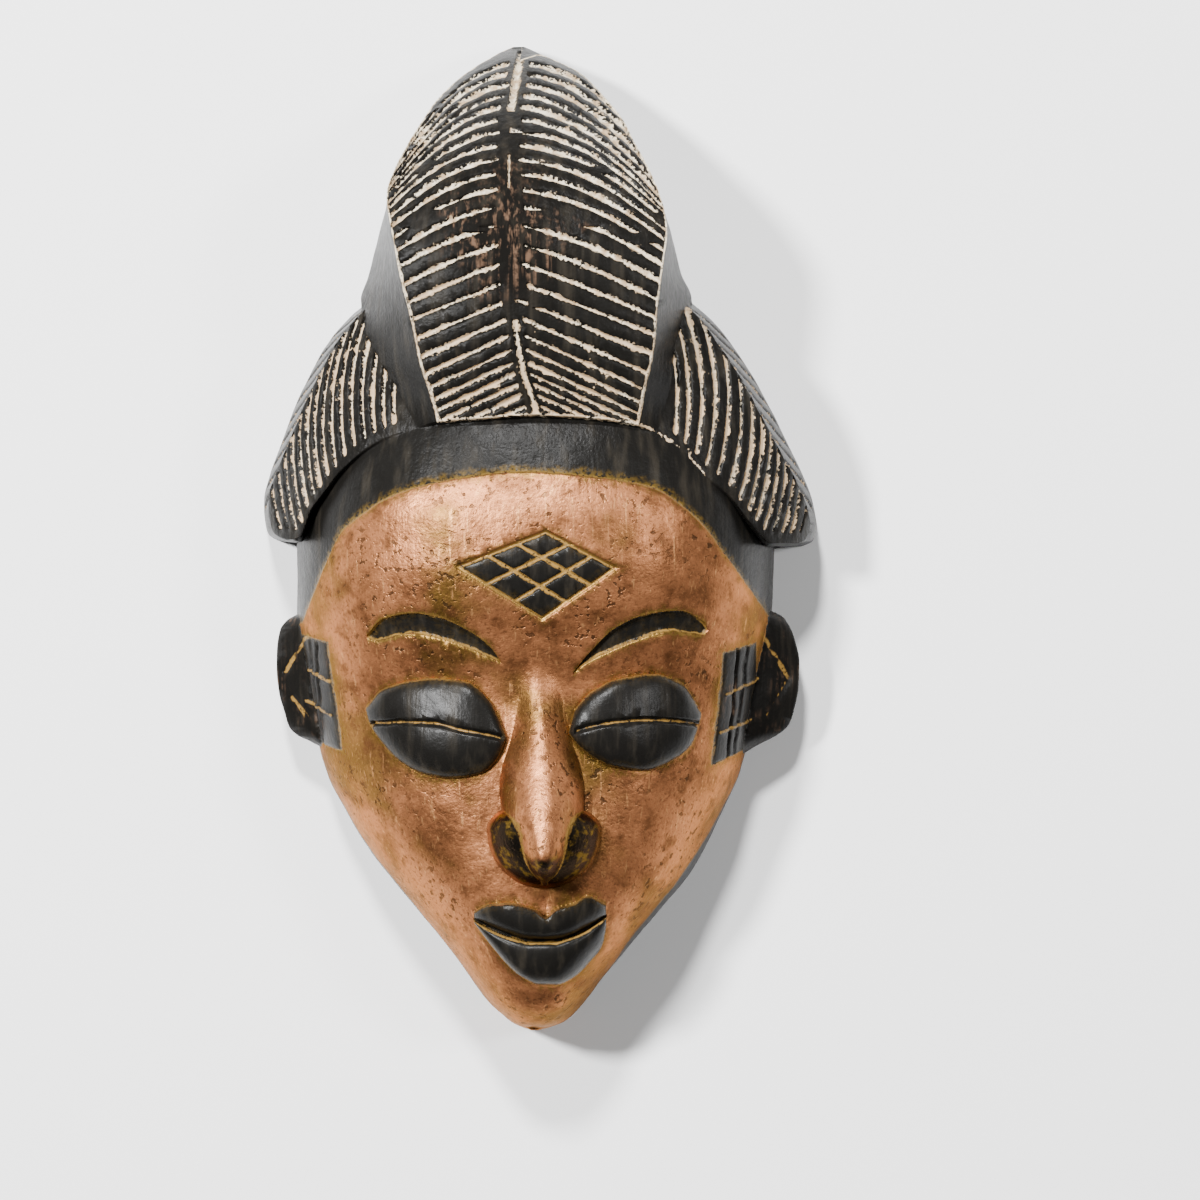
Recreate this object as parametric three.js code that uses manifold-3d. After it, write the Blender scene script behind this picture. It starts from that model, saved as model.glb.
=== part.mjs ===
// A carved wooden face mask lying on its back rim, in millimetres.
// X runs to the right of the picture, Y from the chin to the crest, Z out of the face.
import * as THREE from "three";
import Module from "manifold-3d";

const wasm = await Module();
wasm.setup();

// Sizes of the carving
const GROOVE_DEPTH = 1.3;
const GROOVE_SHARE = 0.2;       // half of a groove as a share of the spacing between grooves
const FACE_STEP = 1.0;          // the face stands this far above the headband
const SECTION_POWER = 2.5;      // how boxy the head is across
const WING_SPAN = 104;          // half width of the oval that the hair lobes are cut from
const WING_RISE = 84;
const WING_LENGTH = 105;
const WALL_UPRIGHT = 20;        // the lobes' outer walls stand nearly upright this far up
const WALL_SLOPE = 6;           // and rise this much for each millimetre inwards above that
const LID_RISE = 8;
const SOCKET_DEPTH = 3;
const BROW_DEPTH = 1.6;
const CHIN_Y = -173.9;
const TOP_Y = 174.9;
const MIDDLE_Y = 0.5;           // middle of the outline, taken off to put the origin under the part
const SHORTEST_EDGE = 0.5;      // facets are closed up below this size
const THINNEST_FACET = 0.05;
const HOLLOW = { y: -27, length: 118, half: 66, depth: 58 };

// A smooth line through a few [input, output] points, flat past both ends
function curve(points) {
  const n = points.length;
  const slope = [];
  for (let i = 0; i + 1 < n; i++) {
    slope.push((points[i + 1][1] - points[i][1]) / (points[i + 1][0] - points[i][0]));
  }
  const tangent = points.map((p, i) => {
    if (i === 0) return slope[0];
    if (i === n - 1) return slope[n - 2];
    const product = slope[i - 1] * slope[i];
    return product > 0 ? (2 * product) / (slope[i - 1] + slope[i]) : 0;
  });
  return (x) => {
    if (x <= points[0][0]) return points[0][1];
    if (x >= points[n - 1][0]) return points[n - 1][1];
    let i = 0;
    while (x > points[i + 1][0]) i++;
    const h = points[i + 1][0] - points[i][0];
    const t = (x - points[i][0]) / h;
    const a = points[i][1];
    const b = points[i + 1][1];
    const s = t * t * (3 - 2 * t);
    return a + (b - a) * s + h * t * (1 - t) * ((1 - t) * tangent[i] - t * tangent[i + 1]);
  };
}

const clamp = (v, lo, hi) => Math.min(hi, Math.max(lo, v));
const mix = (a, b, t) => a + (b - a) * t;
const steps = (from, to, count) => Array.from({ length: count + 1 }, (_, i) => mix(from, to, i / count));

// A closed body from rings with equal numbers of points
function tube(rings) {
  const size = rings[0].length;
  const position = rings.flat(2);
  const index = [];
  for (let i = 0; i + 1 < rings.length; i++) {
    for (let j = 0; j < size; j++) {
      const k = (j + 1) % size;
      const a = i * size + j;
      const b = i * size + k;
      index.push(a, b, b + size, a, b + size, a + size);
    }
  }
  const last = (rings.length - 1) * size;
  for (let j = 0, k = size - 1; j + 1 < k; j++, k--) {
    index.push(j, k, j + 1, last + j, last + j + 1, last + k);
    if (j + 1 < k - 1) index.push(j + 1, k, k - 1, last + j + 1, last + k - 1, last + k);
  }
  return body(position, index);
}

// A body from its points and triangles, turned the right way out
function body(position, index) {
  let volume = 0;
  const point = (i) => new THREE.Vector3(position[3 * i], position[3 * i + 1], position[3 * i + 2]);
  for (let i = 0; i < index.length; i += 3) {
    volume += point(index[i]).dot(point(index[i + 1]).cross(point(index[i + 2])));
  }
  const order = volume < 0 ? index.slice().reverse() : index;
  const mesh = new wasm.Mesh({
    numProp: 3,
    vertProperties: new Float32Array(position),
    triVerts: new Uint32Array(order),
  });
  return new wasm.Manifold(mesh);
}

// A sheet of [x, y, z] rows thickened down to one level
const sheet = (rows, floor) =>
  tube(rows.map((row) => [...row, ...row.slice().reverse().map(([x, y]) => [x, y, floor])]));

// A column between two outlines with the same number of points
function column(low, high, from, to) {
  const n = low.length;
  const position = [...low.map(([x, y]) => [x, y, from]), ...high.map(([x, y]) => [x, y, to])].flat();
  const outline = low.map(([x, y]) => new THREE.Vector2(x, y));
  const index = [];
  for (const [a, b, c] of THREE.ShapeUtils.triangulateShape(outline, [])) {
    index.push(a, c, b, a + n, b + n, c + n);
  }
  const turn = THREE.ShapeUtils.isClockWise(outline);
  for (let i = 0; i < n; i++) {
    const j = (i + 1) % n;
    if (turn) index.push(i, j + n, j, i, i + n, j + n);
    else index.push(i, j, j + n, i, j + n, i + n);
  }
  return body(position, index);
}

// A V-shaped cut along a path of {at, out} points, out being the way the surface faces
function score(path, half, depth) {
  const lift = 1.2;
  const wide = (half * (depth + lift)) / depth;
  return tube(path.map(({ at, out }, i) => {
    const before = path[Math.max(0, i - 1)].at;
    const after = path[Math.min(path.length - 1, i + 1)].at;
    const along = after.clone().sub(before);
    const side = along.cross(out).normalize().multiplyScalar(wide);
    const top = at.clone().addScaledVector(out, lift);
    const low = at.clone().addScaledVector(out, -depth);
    return [top.clone().add(side), top.clone().sub(side), low].map((p) => [p.x, p.y, p.z]);
  }));
}

// The head: outline on each side, middle line and ridge height along Y
const headLeft = curve([[CHIN_Y, -4.5], [-173, -8.5], [-170, -13], [-164.3, -19.1], [-155.4, -25.4],
  [-146.5, -31.9], [-128.7, -46.8], [-110.9, -61.1], [-93, -71.8], [-84.2, -76], [-50, -84], [-26.5, -87],
  [0, -87], [40, -80], [60, -68]]);
const headRight = curve([[CHIN_Y, 1.5], [-173, 5.5], [-170.4, 10.5], [-164.7, 16.1], [-155.8, 22.9],
  [-147, 30.1], [-129, 45.5], [-120.1, 53], [-111.2, 58.3], [-93.3, 66.7], [-84.3, 70.8],
  [-50, 78.5], [-25, 82.5], [0, 83.5], [40, 79], [60, 66]]);
const headMiddle = curve([[-172.9, -2.5], [-150, -1], [-120, 1.5], [-60, 0.5], [0, 0]]);
const headRidge = curve([[-172.9, 30], [-171, 42], [-168, 49], [-165, 54], [-158, 60], [-145, 65],
  [-130, 69], [-100, 73], [-70, 75], [-50, 77], [-35, 81], [-20, 86], [-8, 88], [5, 88], [20, 85.5],
  [42, 79], [60, 58]]);

// How far the eye sockets are sunk
const SOCKETS = [[-36, -58], [33.5, -57]];
const socket = (x, y) => SOCKETS.reduce((sum, [sx, sy]) =>
  sum + SOCKET_DEPTH * Math.exp(-(((x - sx) / 24) ** 2) - ((y - sy) / 15) ** 2), 0);

function headPoint(y, turn, rise) {
  const c = headMiddle(y);
  const reach = Math.sign(Math.cos(turn)) * Math.abs(Math.cos(turn)) ** (2 / SECTION_POWER);
  const half = reach < 0 ? c - headLeft(y) : headRight(y) - c;
  const z = (headRidge(y) + rise) * Math.sin(turn) ** (2 / SECTION_POWER);
  const x = c + reach * half;
  return [x, y, z - socket(x, y)];
}

function headHeight(x, y) {
  const c = headMiddle(y);
  const half = x < c ? c - headLeft(y) : headRight(y) - c;
  const q = clamp(Math.abs(x - c) / half, 0, 1);
  return (headRidge(y) + FACE_STEP) * (1 - q ** SECTION_POWER) ** (1 / SECTION_POWER) - socket(x, y);
}

function headBody(rise) {
  const rows = [CHIN_Y, -173, -171.3, -168.5, -165, -161, ...steps(-156, 60, 28)];
  const turns = steps(0, Math.PI, 24).map((t) => clamp(t, 1e-7, Math.PI - 1e-7));
  return tube(rows.map((y) => turns.map((t) => {
    const [x, yy, z] = headPoint(y, t, rise);
    return [x, yy, z < 0.01 ? 0 : z];
  })));
}

// The face, a step above the headband and the sideburns
const BROW_LINE = [[-84, -30], [-73.7, -6.8], [-68.2, 2.7], [-62.6, 7.1], [-55.5, 11.9], [-44.8, 16.3],
  [-30.8, 19.7], [-6.5, 22.4], [21.2, 20.3], [38.5, 17.3], [45.5, 13.9], [52.5, 8.4], [57.8, 3.2],
  [65, -6.1], [81, -28]];
const SIDEBURN_RIGHT = [[81, -36], [76.2, -37], [64.4, -40.5], [62.6, -60.2], [60.2, -79.8], [80, -75]];
const SIDEBURN_LEFT = [[-90, -73], [-78.8, -72], [-69.2, -75], [-71, -61.6], [-73.8, -37], [-84.4, -34.2]];

function faceBody() {
  const chin = [[110, -90], [70, -180], [-70, -180], [-110, -90]];
  const outline = [...BROW_LINE, ...SIDEBURN_RIGHT, ...chin, ...SIDEBURN_LEFT];
  return headBody(FACE_STEP).intersect(column(outline, outline, -1, 120));
}

// A body between two lines across the face, reaching from one height over the face to another
function field({ from, to, upper, lower }, top, bottom, across, along) {
  return tube(steps(0, 1, across).map((step) => {
    const s = (1 - Math.cos(Math.PI * step)) / 2;
    const x = mix(from, to, s);
    const line = (rise) => steps(0, 1, along).map((t) => {
      const y = mix(lower(x), upper(x), t);
      return [x, y, headHeight(x, y) + rise(s, t)];
    });
    return [...line(top), ...line(() => bottom).reverse()];
  }));
}

const dome = (height, power) => (s, t) =>
  height * clamp(16 * s * (1 - s) * t * (1 - t), 0.0004, 1) ** power;

// Eyelids, lips and the sunk brows
const lidLeft = {
  from: -60.8,
  to: -11.2,
  upper: curve([[-60.8, -59.6], [-54.8, -53.3], [-46.7, -50.4], [-37.2, -49], [-25, -50.3], [-17, -56.9],
    [-11.2, -69.3]]),
  lower: curve([[-60.8, -60], [-59.5, -64.5], [-55.9, -70.4], [-49.2, -77.6], [-40.4, -82.4],
    [-30.6, -84.1], [-20.5, -82.3], [-14.3, -76.8], [-11.2, -69.6]]),
  slit: [[-57.5, -65.1], [-47.3, -64.3], [-37.1, -64.5], [-27, -66.9], [-17, -68.7], [-12, -69.8]],
};
const lidRight = {
  from: 10.3,
  to: 56.6,
  upper: curve([[10.3, -68], [12.8, -59.7], [19.1, -53.1], [28.8, -48.9], [40.3, -47.6], [50, -51.1],
    [56.6, -61.5]]),
  lower: curve([[10.3, -68.3], [13.5, -72.3], [19.1, -76.8], [26.7, -80.2], [36.8, -81.3], [46.9, -77.6],
    [53.6, -71.8], [56.6, -61.8]]),
  slit: [[11, -68], [17, -66], [26.7, -64.2], [37.5, -63.5], [46.9, -63.9], [54.5, -65]],
};
const lipLine = curve([[-22.9, -133], [-17.1, -135.9], [-10.1, -138.6], [-2.8, -140.3], [4.8, -140.3],
  [11.8, -138.6], [17.3, -135.9], [23.5, -131.9]]);
const lipTop = curve([[-22.9, -130.5], [-17.1, -127.6], [-9.7, -127.1], [-2.1, -129.1], [2.4, -131.9],
  [5.9, -129.1], [11.8, -127.4], [17.3, -124.6], [23.5, -128]]);
const lipBottom = curve([[-22.9, -134.5], [-16.1, -143.4], [-11.6, -148.6], [-5.6, -153.8], [0.3, -156.2],
  [5.9, -156.2], [11.8, -153.8], [17.3, -148.6], [21.9, -142.4], [23.5, -135]]);
const browLeft = {
  from: -60.3,
  to: -13.2,
  upper: curve([[-60.3, -34.6], [-54, -28.5], [-43.7, -26.7], [-33.6, -28.5], [-23.9, -33], [-17, -38.2],
    [-13.2, -43.2]]),
  lower: curve([[-60.3, -35], [-57.1, -36.1], [-45.2, -33.7], [-33.6, -35.7], [-23.9, -38.9],
    [-13.2, -43.6]]),
};
const browRight = {
  from: 11.8,
  to: 58.8,
  upper: curve([[11.8, -47.3], [17, -40.9], [26.7, -31.6], [37.5, -27.1], [48.3, -25.7], [57, -29.2],
    [58.8, -32.1]]),
  lower: curve([[11.8, -47.7], [15.6, -44.4], [23.6, -40.3], [33.7, -36.1], [45.5, -33], [57, -34.1],
    [58.8, -32.5]]),
};

// The nose: a bridge with a flat top that narrows to the tip, over a rounded base with the nostrils
const bridgeHalf = curve([[-119.5, 1.5], [-117, 5], [-112, 8.3], [-104, 11.5], [-97, 14.2], [-88, 14.8],
  [-80, 13.6], [-70, 10.5], [-50, 7], [-36, 5]]);
const noseRise = curve([[-121, 6], [-118.5, 15], [-115, 24], [-111, 26.5], [-100, 22.5], [-80, 12.5],
  [-60, 4.5], [-48, 1.4], [-36, 0]]);
const noseMiddle = curve([[-121, 2], [-105, 1.9], [-84, 1], [-36, 0.4]]);
const NOSTRILS = { y: -102, half: 20, up: 10, down: 20, rise: 16 };

function bridgeBody() {
  const rows = [-119.5, -118, -115.5, -112, ...steps(-107, -36, 9)].map((y) => {
    const soft = clamp((y + 88) / 28, 0, 1);
    return steps(-1, 1, 8).map((step) => {
      const q = Math.sin((step * Math.PI) / 2);
      const x = noseMiddle(y) + q * bridgeHalf(y);
      const shape = (1 - Math.abs(q) ** mix(2.4, 2, soft)) ** mix(0.9, 1.4, soft);
      return [x, y, headHeight(x, y) - 0.2 + noseRise(y) * shape];
    });
  });
  return sheet(rows, 30);
}

function nostrilBody() {
  const { y: middle, half, up, down, rise } = NOSTRILS;
  const rows = steps(-1, 1, 9).map((step) => {
    const b = Math.sin((step * Math.PI) / 2) * 0.998;
    const y = middle + b * (b < 0 ? down : up);
    const wide = Math.sqrt(1 - b * b);
    return steps(-1, 1, 8).map((place) => {
      const a = Math.sin((place * Math.PI) / 2) * wide;
      const x = noseMiddle(y) + a * half;
      const q = Math.min(1, Math.hypot(a, b));
      return [x, y, headHeight(x, y) - 0.2 + rise * (1 - q ** 2.6) ** 0.7];
    });
  });
  return sheet(rows, 30);
}

// Ears: outer edge along Y, and the section that swells out of the side of the head
const earEdge = {
  "-1": curve([[-75, -76], [-71.7, -82.3], [-69.9, -85.9], [-66.8, -89.1], [-61, -91], [-54.8, -92.7],
    [-45.6, -93.7], [-38, -93.4], [-32.5, -92.3], [-28.9, -89.7], [-26, -84]]),
  1: curve([[-77, 71], [-73, 78], [-69, 85.6], [-66, 88.4], [-61.5, 90], [-53.7, 91.6], [-44.1, 91.9],
    [-36, 90.4], [-28.6, 86.5], [-25, 80.4]]),
};
const EAR_SECTION = [[29, 0], [25, 0.5], [20, 1], [13, 1], [7, 0.7], [3, 0]];

function earBody(side) {
  const lowest = side < 0 ? [-75] : [-77, -75];
  const rows = [...lowest, -73, -70, -66, -60, -52, -44, -37, -32, -29, -27, -25.6];
  return tube(rows.map((y) => {
    const wall = side < 0 ? headLeft(y) + 5 : headRight(y) - 5;
    return EAR_SECTION.map(([z, share]) => [mix(wall, earEdge[side](y), share), y, z]);
  }));
}

// The hair: grooves are counted by curves that give their place along the parting
const grooveAt = curve([[-3, 32], [0, 45.9], [5, 65.3], [15, 126.3], [24, 167.9], [26, 176]]);
const GROOVES_UP = 24;
const partingX = curve([[36, 0], [43, -1], [58, -5.7], [74, -7.8], [120, -10.3], [134, -10.4],
  [149, -9.9], [155, -9], [165, -7.8], [174, -6.5]]);
const slant = curve([[36, 0.45], [65, 0.45], [87, 0.38], [119, 0.1], [137, 0]]);
const bend = curve([[87, 0], [119, 0.008], [137, 0.013], [153, 0.018], [176, 0.022]]);
const crestRidge = curve([[30, 81], [42, 84], [50, 87], [60, 90], [75, 92], [95, 92], [110, 89],
  [125, 82], [140, 70], [152, 57], [162, 43], [169, 30], [174.5, 14]]);
const crestCamber = curve([[36, 4], [60, 6], [110, 9], [130, 14], [150, 22], [165, 20], [174.5, 6]]);
const crestSides = {
  "-1": {
    border: curve([[36, -33.6], [51, -37.7], [61, -41.1], [71.5, -43.1], [82, -45.6], [95, -48.7],
      [108, -51.4], [116, -52.7], [119.2, -52.9], [128.1, -50.4], [137.5, -46.2], [147, -41.1],
      [155.9, -35.2], [164.8, -26.4], [172.4, -15.1], [TOP_Y, -10.1]]),
    foot: curve([[36, -44], [53, -51], [62, -56.5], [74.5, -61.5], [84, -63], [92.8, -60.3],
      [101.6, -58.2], [110.4, -56.1], [119.2, -53.5], [128.1, -50.8], [137.5, -46.6],
      [147, -41.5], [155.9, -35.6], [164.8, -26.8], [172.4, -15.5], [TOP_Y, -10.5]]),
    reach: curve([[40, 42], [110, 46], [137, 50], [150, 50], [168, 44]]),
    bend: 1,
  },
  1: {
    border: curve([[36, 34], [46, 35.4], [52.5, 36.7], [59, 38.5], [66, 39.8], [80, 41], [95, 43.2],
      [106, 44.4], [114, 43.4], [119.2, 41.9], [128.1, 38.3], [137.5, 33.8], [147, 29.2], [155.9, 22.6],
      [164.8, 14.2], [172.4, -0.9], [TOP_Y, -5.9]]),
    foot: curve([[36, 44], [53, 47.5], [69, 49.5], [78, 52], [84, 53.4], [92.8, 50.1], [101.6, 47.6],
      [110.4, 45.5], [119.2, 42.3], [128.1, 38.7], [137.5, 34.2], [147, 29.6], [155.9, 23], [164.8, 14.6],
      [172.4, -0.5], [TOP_Y, -5.5]]),
    reach: curve([[40, 42], [60, 50], [95, 58], [137, 62], [150, 58], [168, 50]]),
    bend: 0.7,
  },
};
const footHeight = curve([[36, 73], [53, 66], [62, 60], [74.5, 52], [85, 40], [98, 35], [119, 30],
  [150, 24], [165, 15], [174.5, 6]]);

function crestHeight(x, y) {
  const side = crestSides[x < partingX(y) ? -1 : 1];
  const half = Math.abs(side.border(y) - partingX(y)) + 4;
  const q = (x - partingX(y)) / half;
  return crestRidge(y) - crestCamber(y) * Math.min(q * q, 1.6);
}

function crestFront() {
  const lines = [grooveAt(-3)];
  for (let i = 0; i <= GROOVES_UP; i++) {
    for (const k of [-GROOVE_SHARE, 0, GROOVE_SHARE]) {
      lines.push(grooveAt(i + k));
    }
  }
  lines.push(178);
  const shares = [-1, -0.8, -0.6, -0.4, -0.2, 0, 0.2, 0.4, 0.6, 0.8, 1];
  const rows = lines.map((start, i) => shares.map((q) => {
    const side = crestSides[q < 0 ? -1 : 1];
    const away = Math.abs(q) * side.reach(start);
    const y = start - slant(start) * away - bend(start) * side.bend * away * away;
    const x = partingX(start) + Math.sign(q) * away;
    const cut = i % 3 === 2 && i < lines.length - 1 ? GROOVE_DEPTH : 0;
    return [x, y, crestHeight(x, y) - cut];
  }));
  return sheet(rows, -5);
}

function crestBody() {
  const rows = [36, 46, 56, 66, 76, 86, 96, 106, 116, 124, 132, 140, 148, 155, 161, 166, 170, 172.8, TOP_Y];
  return tube(rows.map((y) => {
    const bow = 5 * clamp((60 - y) / 24, 0, 1);
    const start = y + bow * 0.8;
    const ring = [];
    for (const side of [-1, 1]) {
      const border = crestSides[side].border(y);
      const foot = crestSides[side].foot(y);
      const top = crestHeight(border, y);
      const low = Math.min(footHeight(y), top - 1);
      const over = border + ((border - foot) * 8) / (top - low);
      const half = [[foot + side * 0.4, start - bow, 0], [foot, start - bow, low],
        [border, start - 0.6 * bow, top], [over, start - 0.6 * bow, top + 8]];
      ring.push(...(side < 0 ? half : half.reverse()));
    }
    ring.splice(4, 0, [partingX(y), start, crestHeight(partingX(y), y) + 8]);
    return ring;
  }));
}

const wings = {
  "-1": {
    edge: curve([[-100, -3], [-86, -1.8], [-80.4, 7.9], [-75.1, 14.9], [-69.6, 21.8], [-59, 30.4],
      [-50.1, 34.8], [-44.1, 36.5]]),
    outline: [[-50, 89], [-63.3, 82.8], [-71.5, 75.7], [-82.8, 58], [-91, 40.3], [-97, 22.5], [-99, 11],
      [-98.4, 4.8], [-97.4, 1.8], [-93, -0.7], [-85.7, -1.6]],
    inner: [[-80.4, 7.9], [-75.1, 14.9], [-69.6, 21.8], [-59, 30.4], [-50.1, 34.8], [-44.1, 36.5],
      [-30, 42], [-36, 60], [-45, 85]],
    lines: curve([[-1.4, 46], [0, 50.8], [6, 73], [14, 95.6], [15, 99]]),
    last: 14,
  },
  1: {
    edge: curve([[44, 33.7], [52.5, 26.2], [59.5, 18.9], [66.6, 13], [71.9, 6.1], [76.2, 0.9], [80, -2.6],
      [100, -3.5]]),
    outline: [[44, 91], [55.6, 82.8], [63.5, 75.7], [75.8, 58], [85.4, 40.3], [93.9, 22.5], [97.8, 11],
      [98.6, 4.8], [97.2, -0.7], [91.7, -3.1], [79, -3.4]],
    inner: [[76.2, 0.9], [71.9, 6.1], [66.6, 13], [59.5, 18.9], [52.5, 26.2], [44, 33.7], [30, 42],
      [35, 60], [42, 85]],
    lines: curve([[-1.4, 43.5], [0, 48.3], [6, 74.8], [13, 96.3], [14, 100]]),
    last: 13,
  },
};
const spineY = curve([[52, 88], [66, 77.4], [71.8, 68.7], [75, 62], [82.1, 50.1], [84.9, 42.8], [88.9, 34.7],
  [93.2, 23.5], [99, 5]]);

const wingHeight = (x, y) =>
  WING_RISE * Math.sqrt(1 - clamp(y / WING_LENGTH, 0, 0.98) ** 2.6) * Math.sqrt(1 - (x / WING_SPAN) ** 2);

function wingFront(side) {
  const { edge, lines, last } = wings[side];
  const places = [lines(-1.4)];
  for (let i = 0; i <= last; i++) {
    for (const k of [-GROOVE_SHARE, 0, GROOVE_SHARE]) {
      places.push(lines(i + k));
    }
  }
  places.push(lines(last + 1) + 3.5);
  const rows = places.map((place, i) => {
    const low = edge(side * place);
    const high = spineY(place) + 8;
    const waist = mix(48.7, 30, clamp((place - 66) / 22, 0, 1));
    const ys = [low - 7, low + 2.5, ...steps(low + 6, Math.max(high, low + 12), 5)];
    return ys.map((y, j) => {
      const x = side * (place - 0.0058 * Math.min(30, y - waist) ** 2);
      const cut = i % 3 === 2 && i < places.length - 1 && j > 1 ? GROOVE_DEPTH : 0;
      return [x, y, wingHeight(x, y) - cut];
    });
  });
  return sheet(rows, -5);
}

// How far the outer wall of a lobe leans in by each height
const wallLean = (z) => (z < WALL_UPRIGHT ? z / WALL_UPRIGHT : 1 + (z - WALL_UPRIGHT) / WALL_SLOPE);

function wingBody(side) {
  const { outline, inner } = wings[side];
  const high = 95;
  const last = outline.length - 1;
  const leaned = (z) => outline.map(([x, y], i) => {
    const share = i === last ? 0 : 1;
    return [x - share * side * wallLean(z), y + (y < 3 ? (3 * z) / high : 0)];
  });
  const levels = [0, WALL_UPRIGHT, high].map((z) => [...leaned(z), ...inner]);
  const upright = column(levels[0], levels[1], 0, WALL_UPRIGHT);
  const leaning = column(levels[1], levels[2], WALL_UPRIGHT, high);
  return upright.add(leaning).intersect(wingFront(side));
}

// Slanting cuts down the outer side of each lobe, from its front edge to near the rim
function wingSideCuts(side) {
  const silhouette = curve(wings[side].outline.slice(0, 8).map(([x, y]) => [y, x]).reverse());
  return [72, 64.5, 57, 49.5, 42, 34.5, 27, 19.5].map((start) => {
    const deep = 46;
    const path = [deep, 33, WALL_UPRIGHT, 6].map((z) => {
      const y = start - 0.36 * (deep - z);
      const out = new THREE.Vector3(side, 0.35, 0.1).normalize();
      return { at: new THREE.Vector3(silhouette(y) - side * wallLean(z), y, z), out };
    });
    return score(path, 1.2, 1.2);
  });
}

// Scored lines on the face
function faceCut(points, half, depth) {
  const out = new THREE.Vector3(0, 0, 1);
  return score(points.map(([x, y, lift = 0]) => ({
    at: new THREE.Vector3(x, y, headHeight(x, y) - 0.3 + lift), out,
  })), half, depth);
}

function faceCuts() {
  const [west, north, east, south] = [[-27.9, -10.5], [2.5, 1.6], [26.4, -10.8], [1.1, -28.5]];
  const blend = (a, b, t) => [mix(a[0], b[0], t), mix(a[1], b[1], t)];
  const between = (a, b, count) => steps(0, 1, count).map((t) => blend(a, b, t));
  const lines = [[west, north], [north, east], [east, south], [south, west]];
  for (const t of [1 / 3, 2 / 3]) {
    lines.push([blend(west, north, t), blend(south, east, t)]);
    lines.push([blend(west, south, t), blend(north, east, t)]);
  }
  const diamond = lines.map(([a, b]) => faceCut(between(a, b, 5), 0.9, 0.9));
  const burns = [[[69.4, -39.1], [65.5, -78.2]], [[73, -38.4], [68, -77.5]],
    [[-81.1, -36], [-78.3, -72]], [[-78.2, -37], [-76.8, -73.7]]]
    .map(([a, b]) => faceCut(between(a, b, 4), 0.8, 1.6));
  return [...diamond, ...burns];
}

function eyeSlit({ from, to, slit, upper, lower }) {
  const out = new THREE.Vector3(0, 0, 1);
  return score(slit.map(([x, y]) => {
    const s = (x - from) / (to - from);
    const t = clamp((y - lower(x)) / (upper(x) - lower(x)), 0, 1);
    return { at: new THREE.Vector3(x, y, headHeight(x, y) + dome(LID_RISE, 0.4)(s, t)), out };
  }), 1.3, 1.8);
}

function partingCut(from, to) {
  const out = new THREE.Vector3(0, 0, 1);
  return score(steps(from, to, 4).map((y) => (
    { at: new THREE.Vector3(partingX(y), y, crestHeight(partingX(y), y)), out })), 1.2, 1.4);
}

function hollowBody() {
  const { y: middle, length, half, depth } = HOLLOW;
  return tube(steps(-1, 1, 18).map((s) => {
    const a = Math.sin((Math.PI / 2) * s);
    const share = Math.sqrt(Math.max(0.0004, 1 - a * a));
    const y = middle + a * length;
    return steps(0, Math.PI, 14).map((turn) => {
      const reach = Math.sign(Math.cos(turn)) * Math.abs(Math.cos(turn)) ** 0.8;
      const z = Math.sin(turn) < 1e-6 ? -4 : depth * share ** 0.8 * Math.sin(turn) ** 0.8;
      return [headMiddle(y) + reach * half * share, y, z];
    });
  }));
}

const lips = { from: -22.9, to: 23.5 };
const upperLip = { ...lips, upper: lipTop, lower: lipLine };
const lowerLip = { ...lips, upper: (x) => lipLine(x) - 1.4, lower: lipBottom };
const lipRoll = (s, t) => 8 * (4 * s * (1 - s)) ** 0.4 * (1 - (1 - t) ** 3) ** 0.5 * (1.1 - 0.3 * t);

const added = [
  faceBody(),
  bridgeBody(),
  nostrilBody(),
  field(lidLeft, dome(LID_RISE, 0.4), -8, 12, 5),
  field(lidRight, dome(LID_RISE, 0.4), -8, 12, 5),
  field(upperLip, lipRoll, -8, 12, 3),
  field(lowerLip, dome(8, 0.45), -8, 12, 4),
  crestBody().intersect(crestFront()),
  ...[-1, 1].map((side) => wingBody(side)),
  ...[-1, 1].map((side) => earBody(side)),
];

let mask = headBody(0);
for (const piece of added) {
  mask = mask.add(piece);
}
const cuts = [
  ...wingSideCuts(-1),
  ...wingSideCuts(1),
  ...faceCuts(),
  eyeSlit(lidLeft),
  eyeSlit(lidRight),
  field(browLeft, () => 6, -BROW_DEPTH, 10, 1),
  field(browRight, () => 6, -BROW_DEPTH, 10, 1),
  partingCut(42, 76),
  partingCut(148, 172),
  hollowBody(),
];
for (const piece of cuts) {
  mask = mask.subtract(piece);
}

// Closing up the shortest edges and turning the long side of needle-thin facets,
// so that every facet that is left has a real size
const edgeKey = (a, b) => (a < b ? `${a},${b}` : `${b},${a}`);

function surroundings(faces) {
  const around = new Map();
  faces.forEach((face, f) => face.forEach((v) => {
    if (!around.has(v)) around.set(v, []);
    around.get(v).push(f);
  }));
  return around;
}

function normalOf(points, [a, b, c]) {
  const ab = points[b].clone().sub(points[a]);
  return ab.cross(points[c].clone().sub(points[a]));
}

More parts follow.
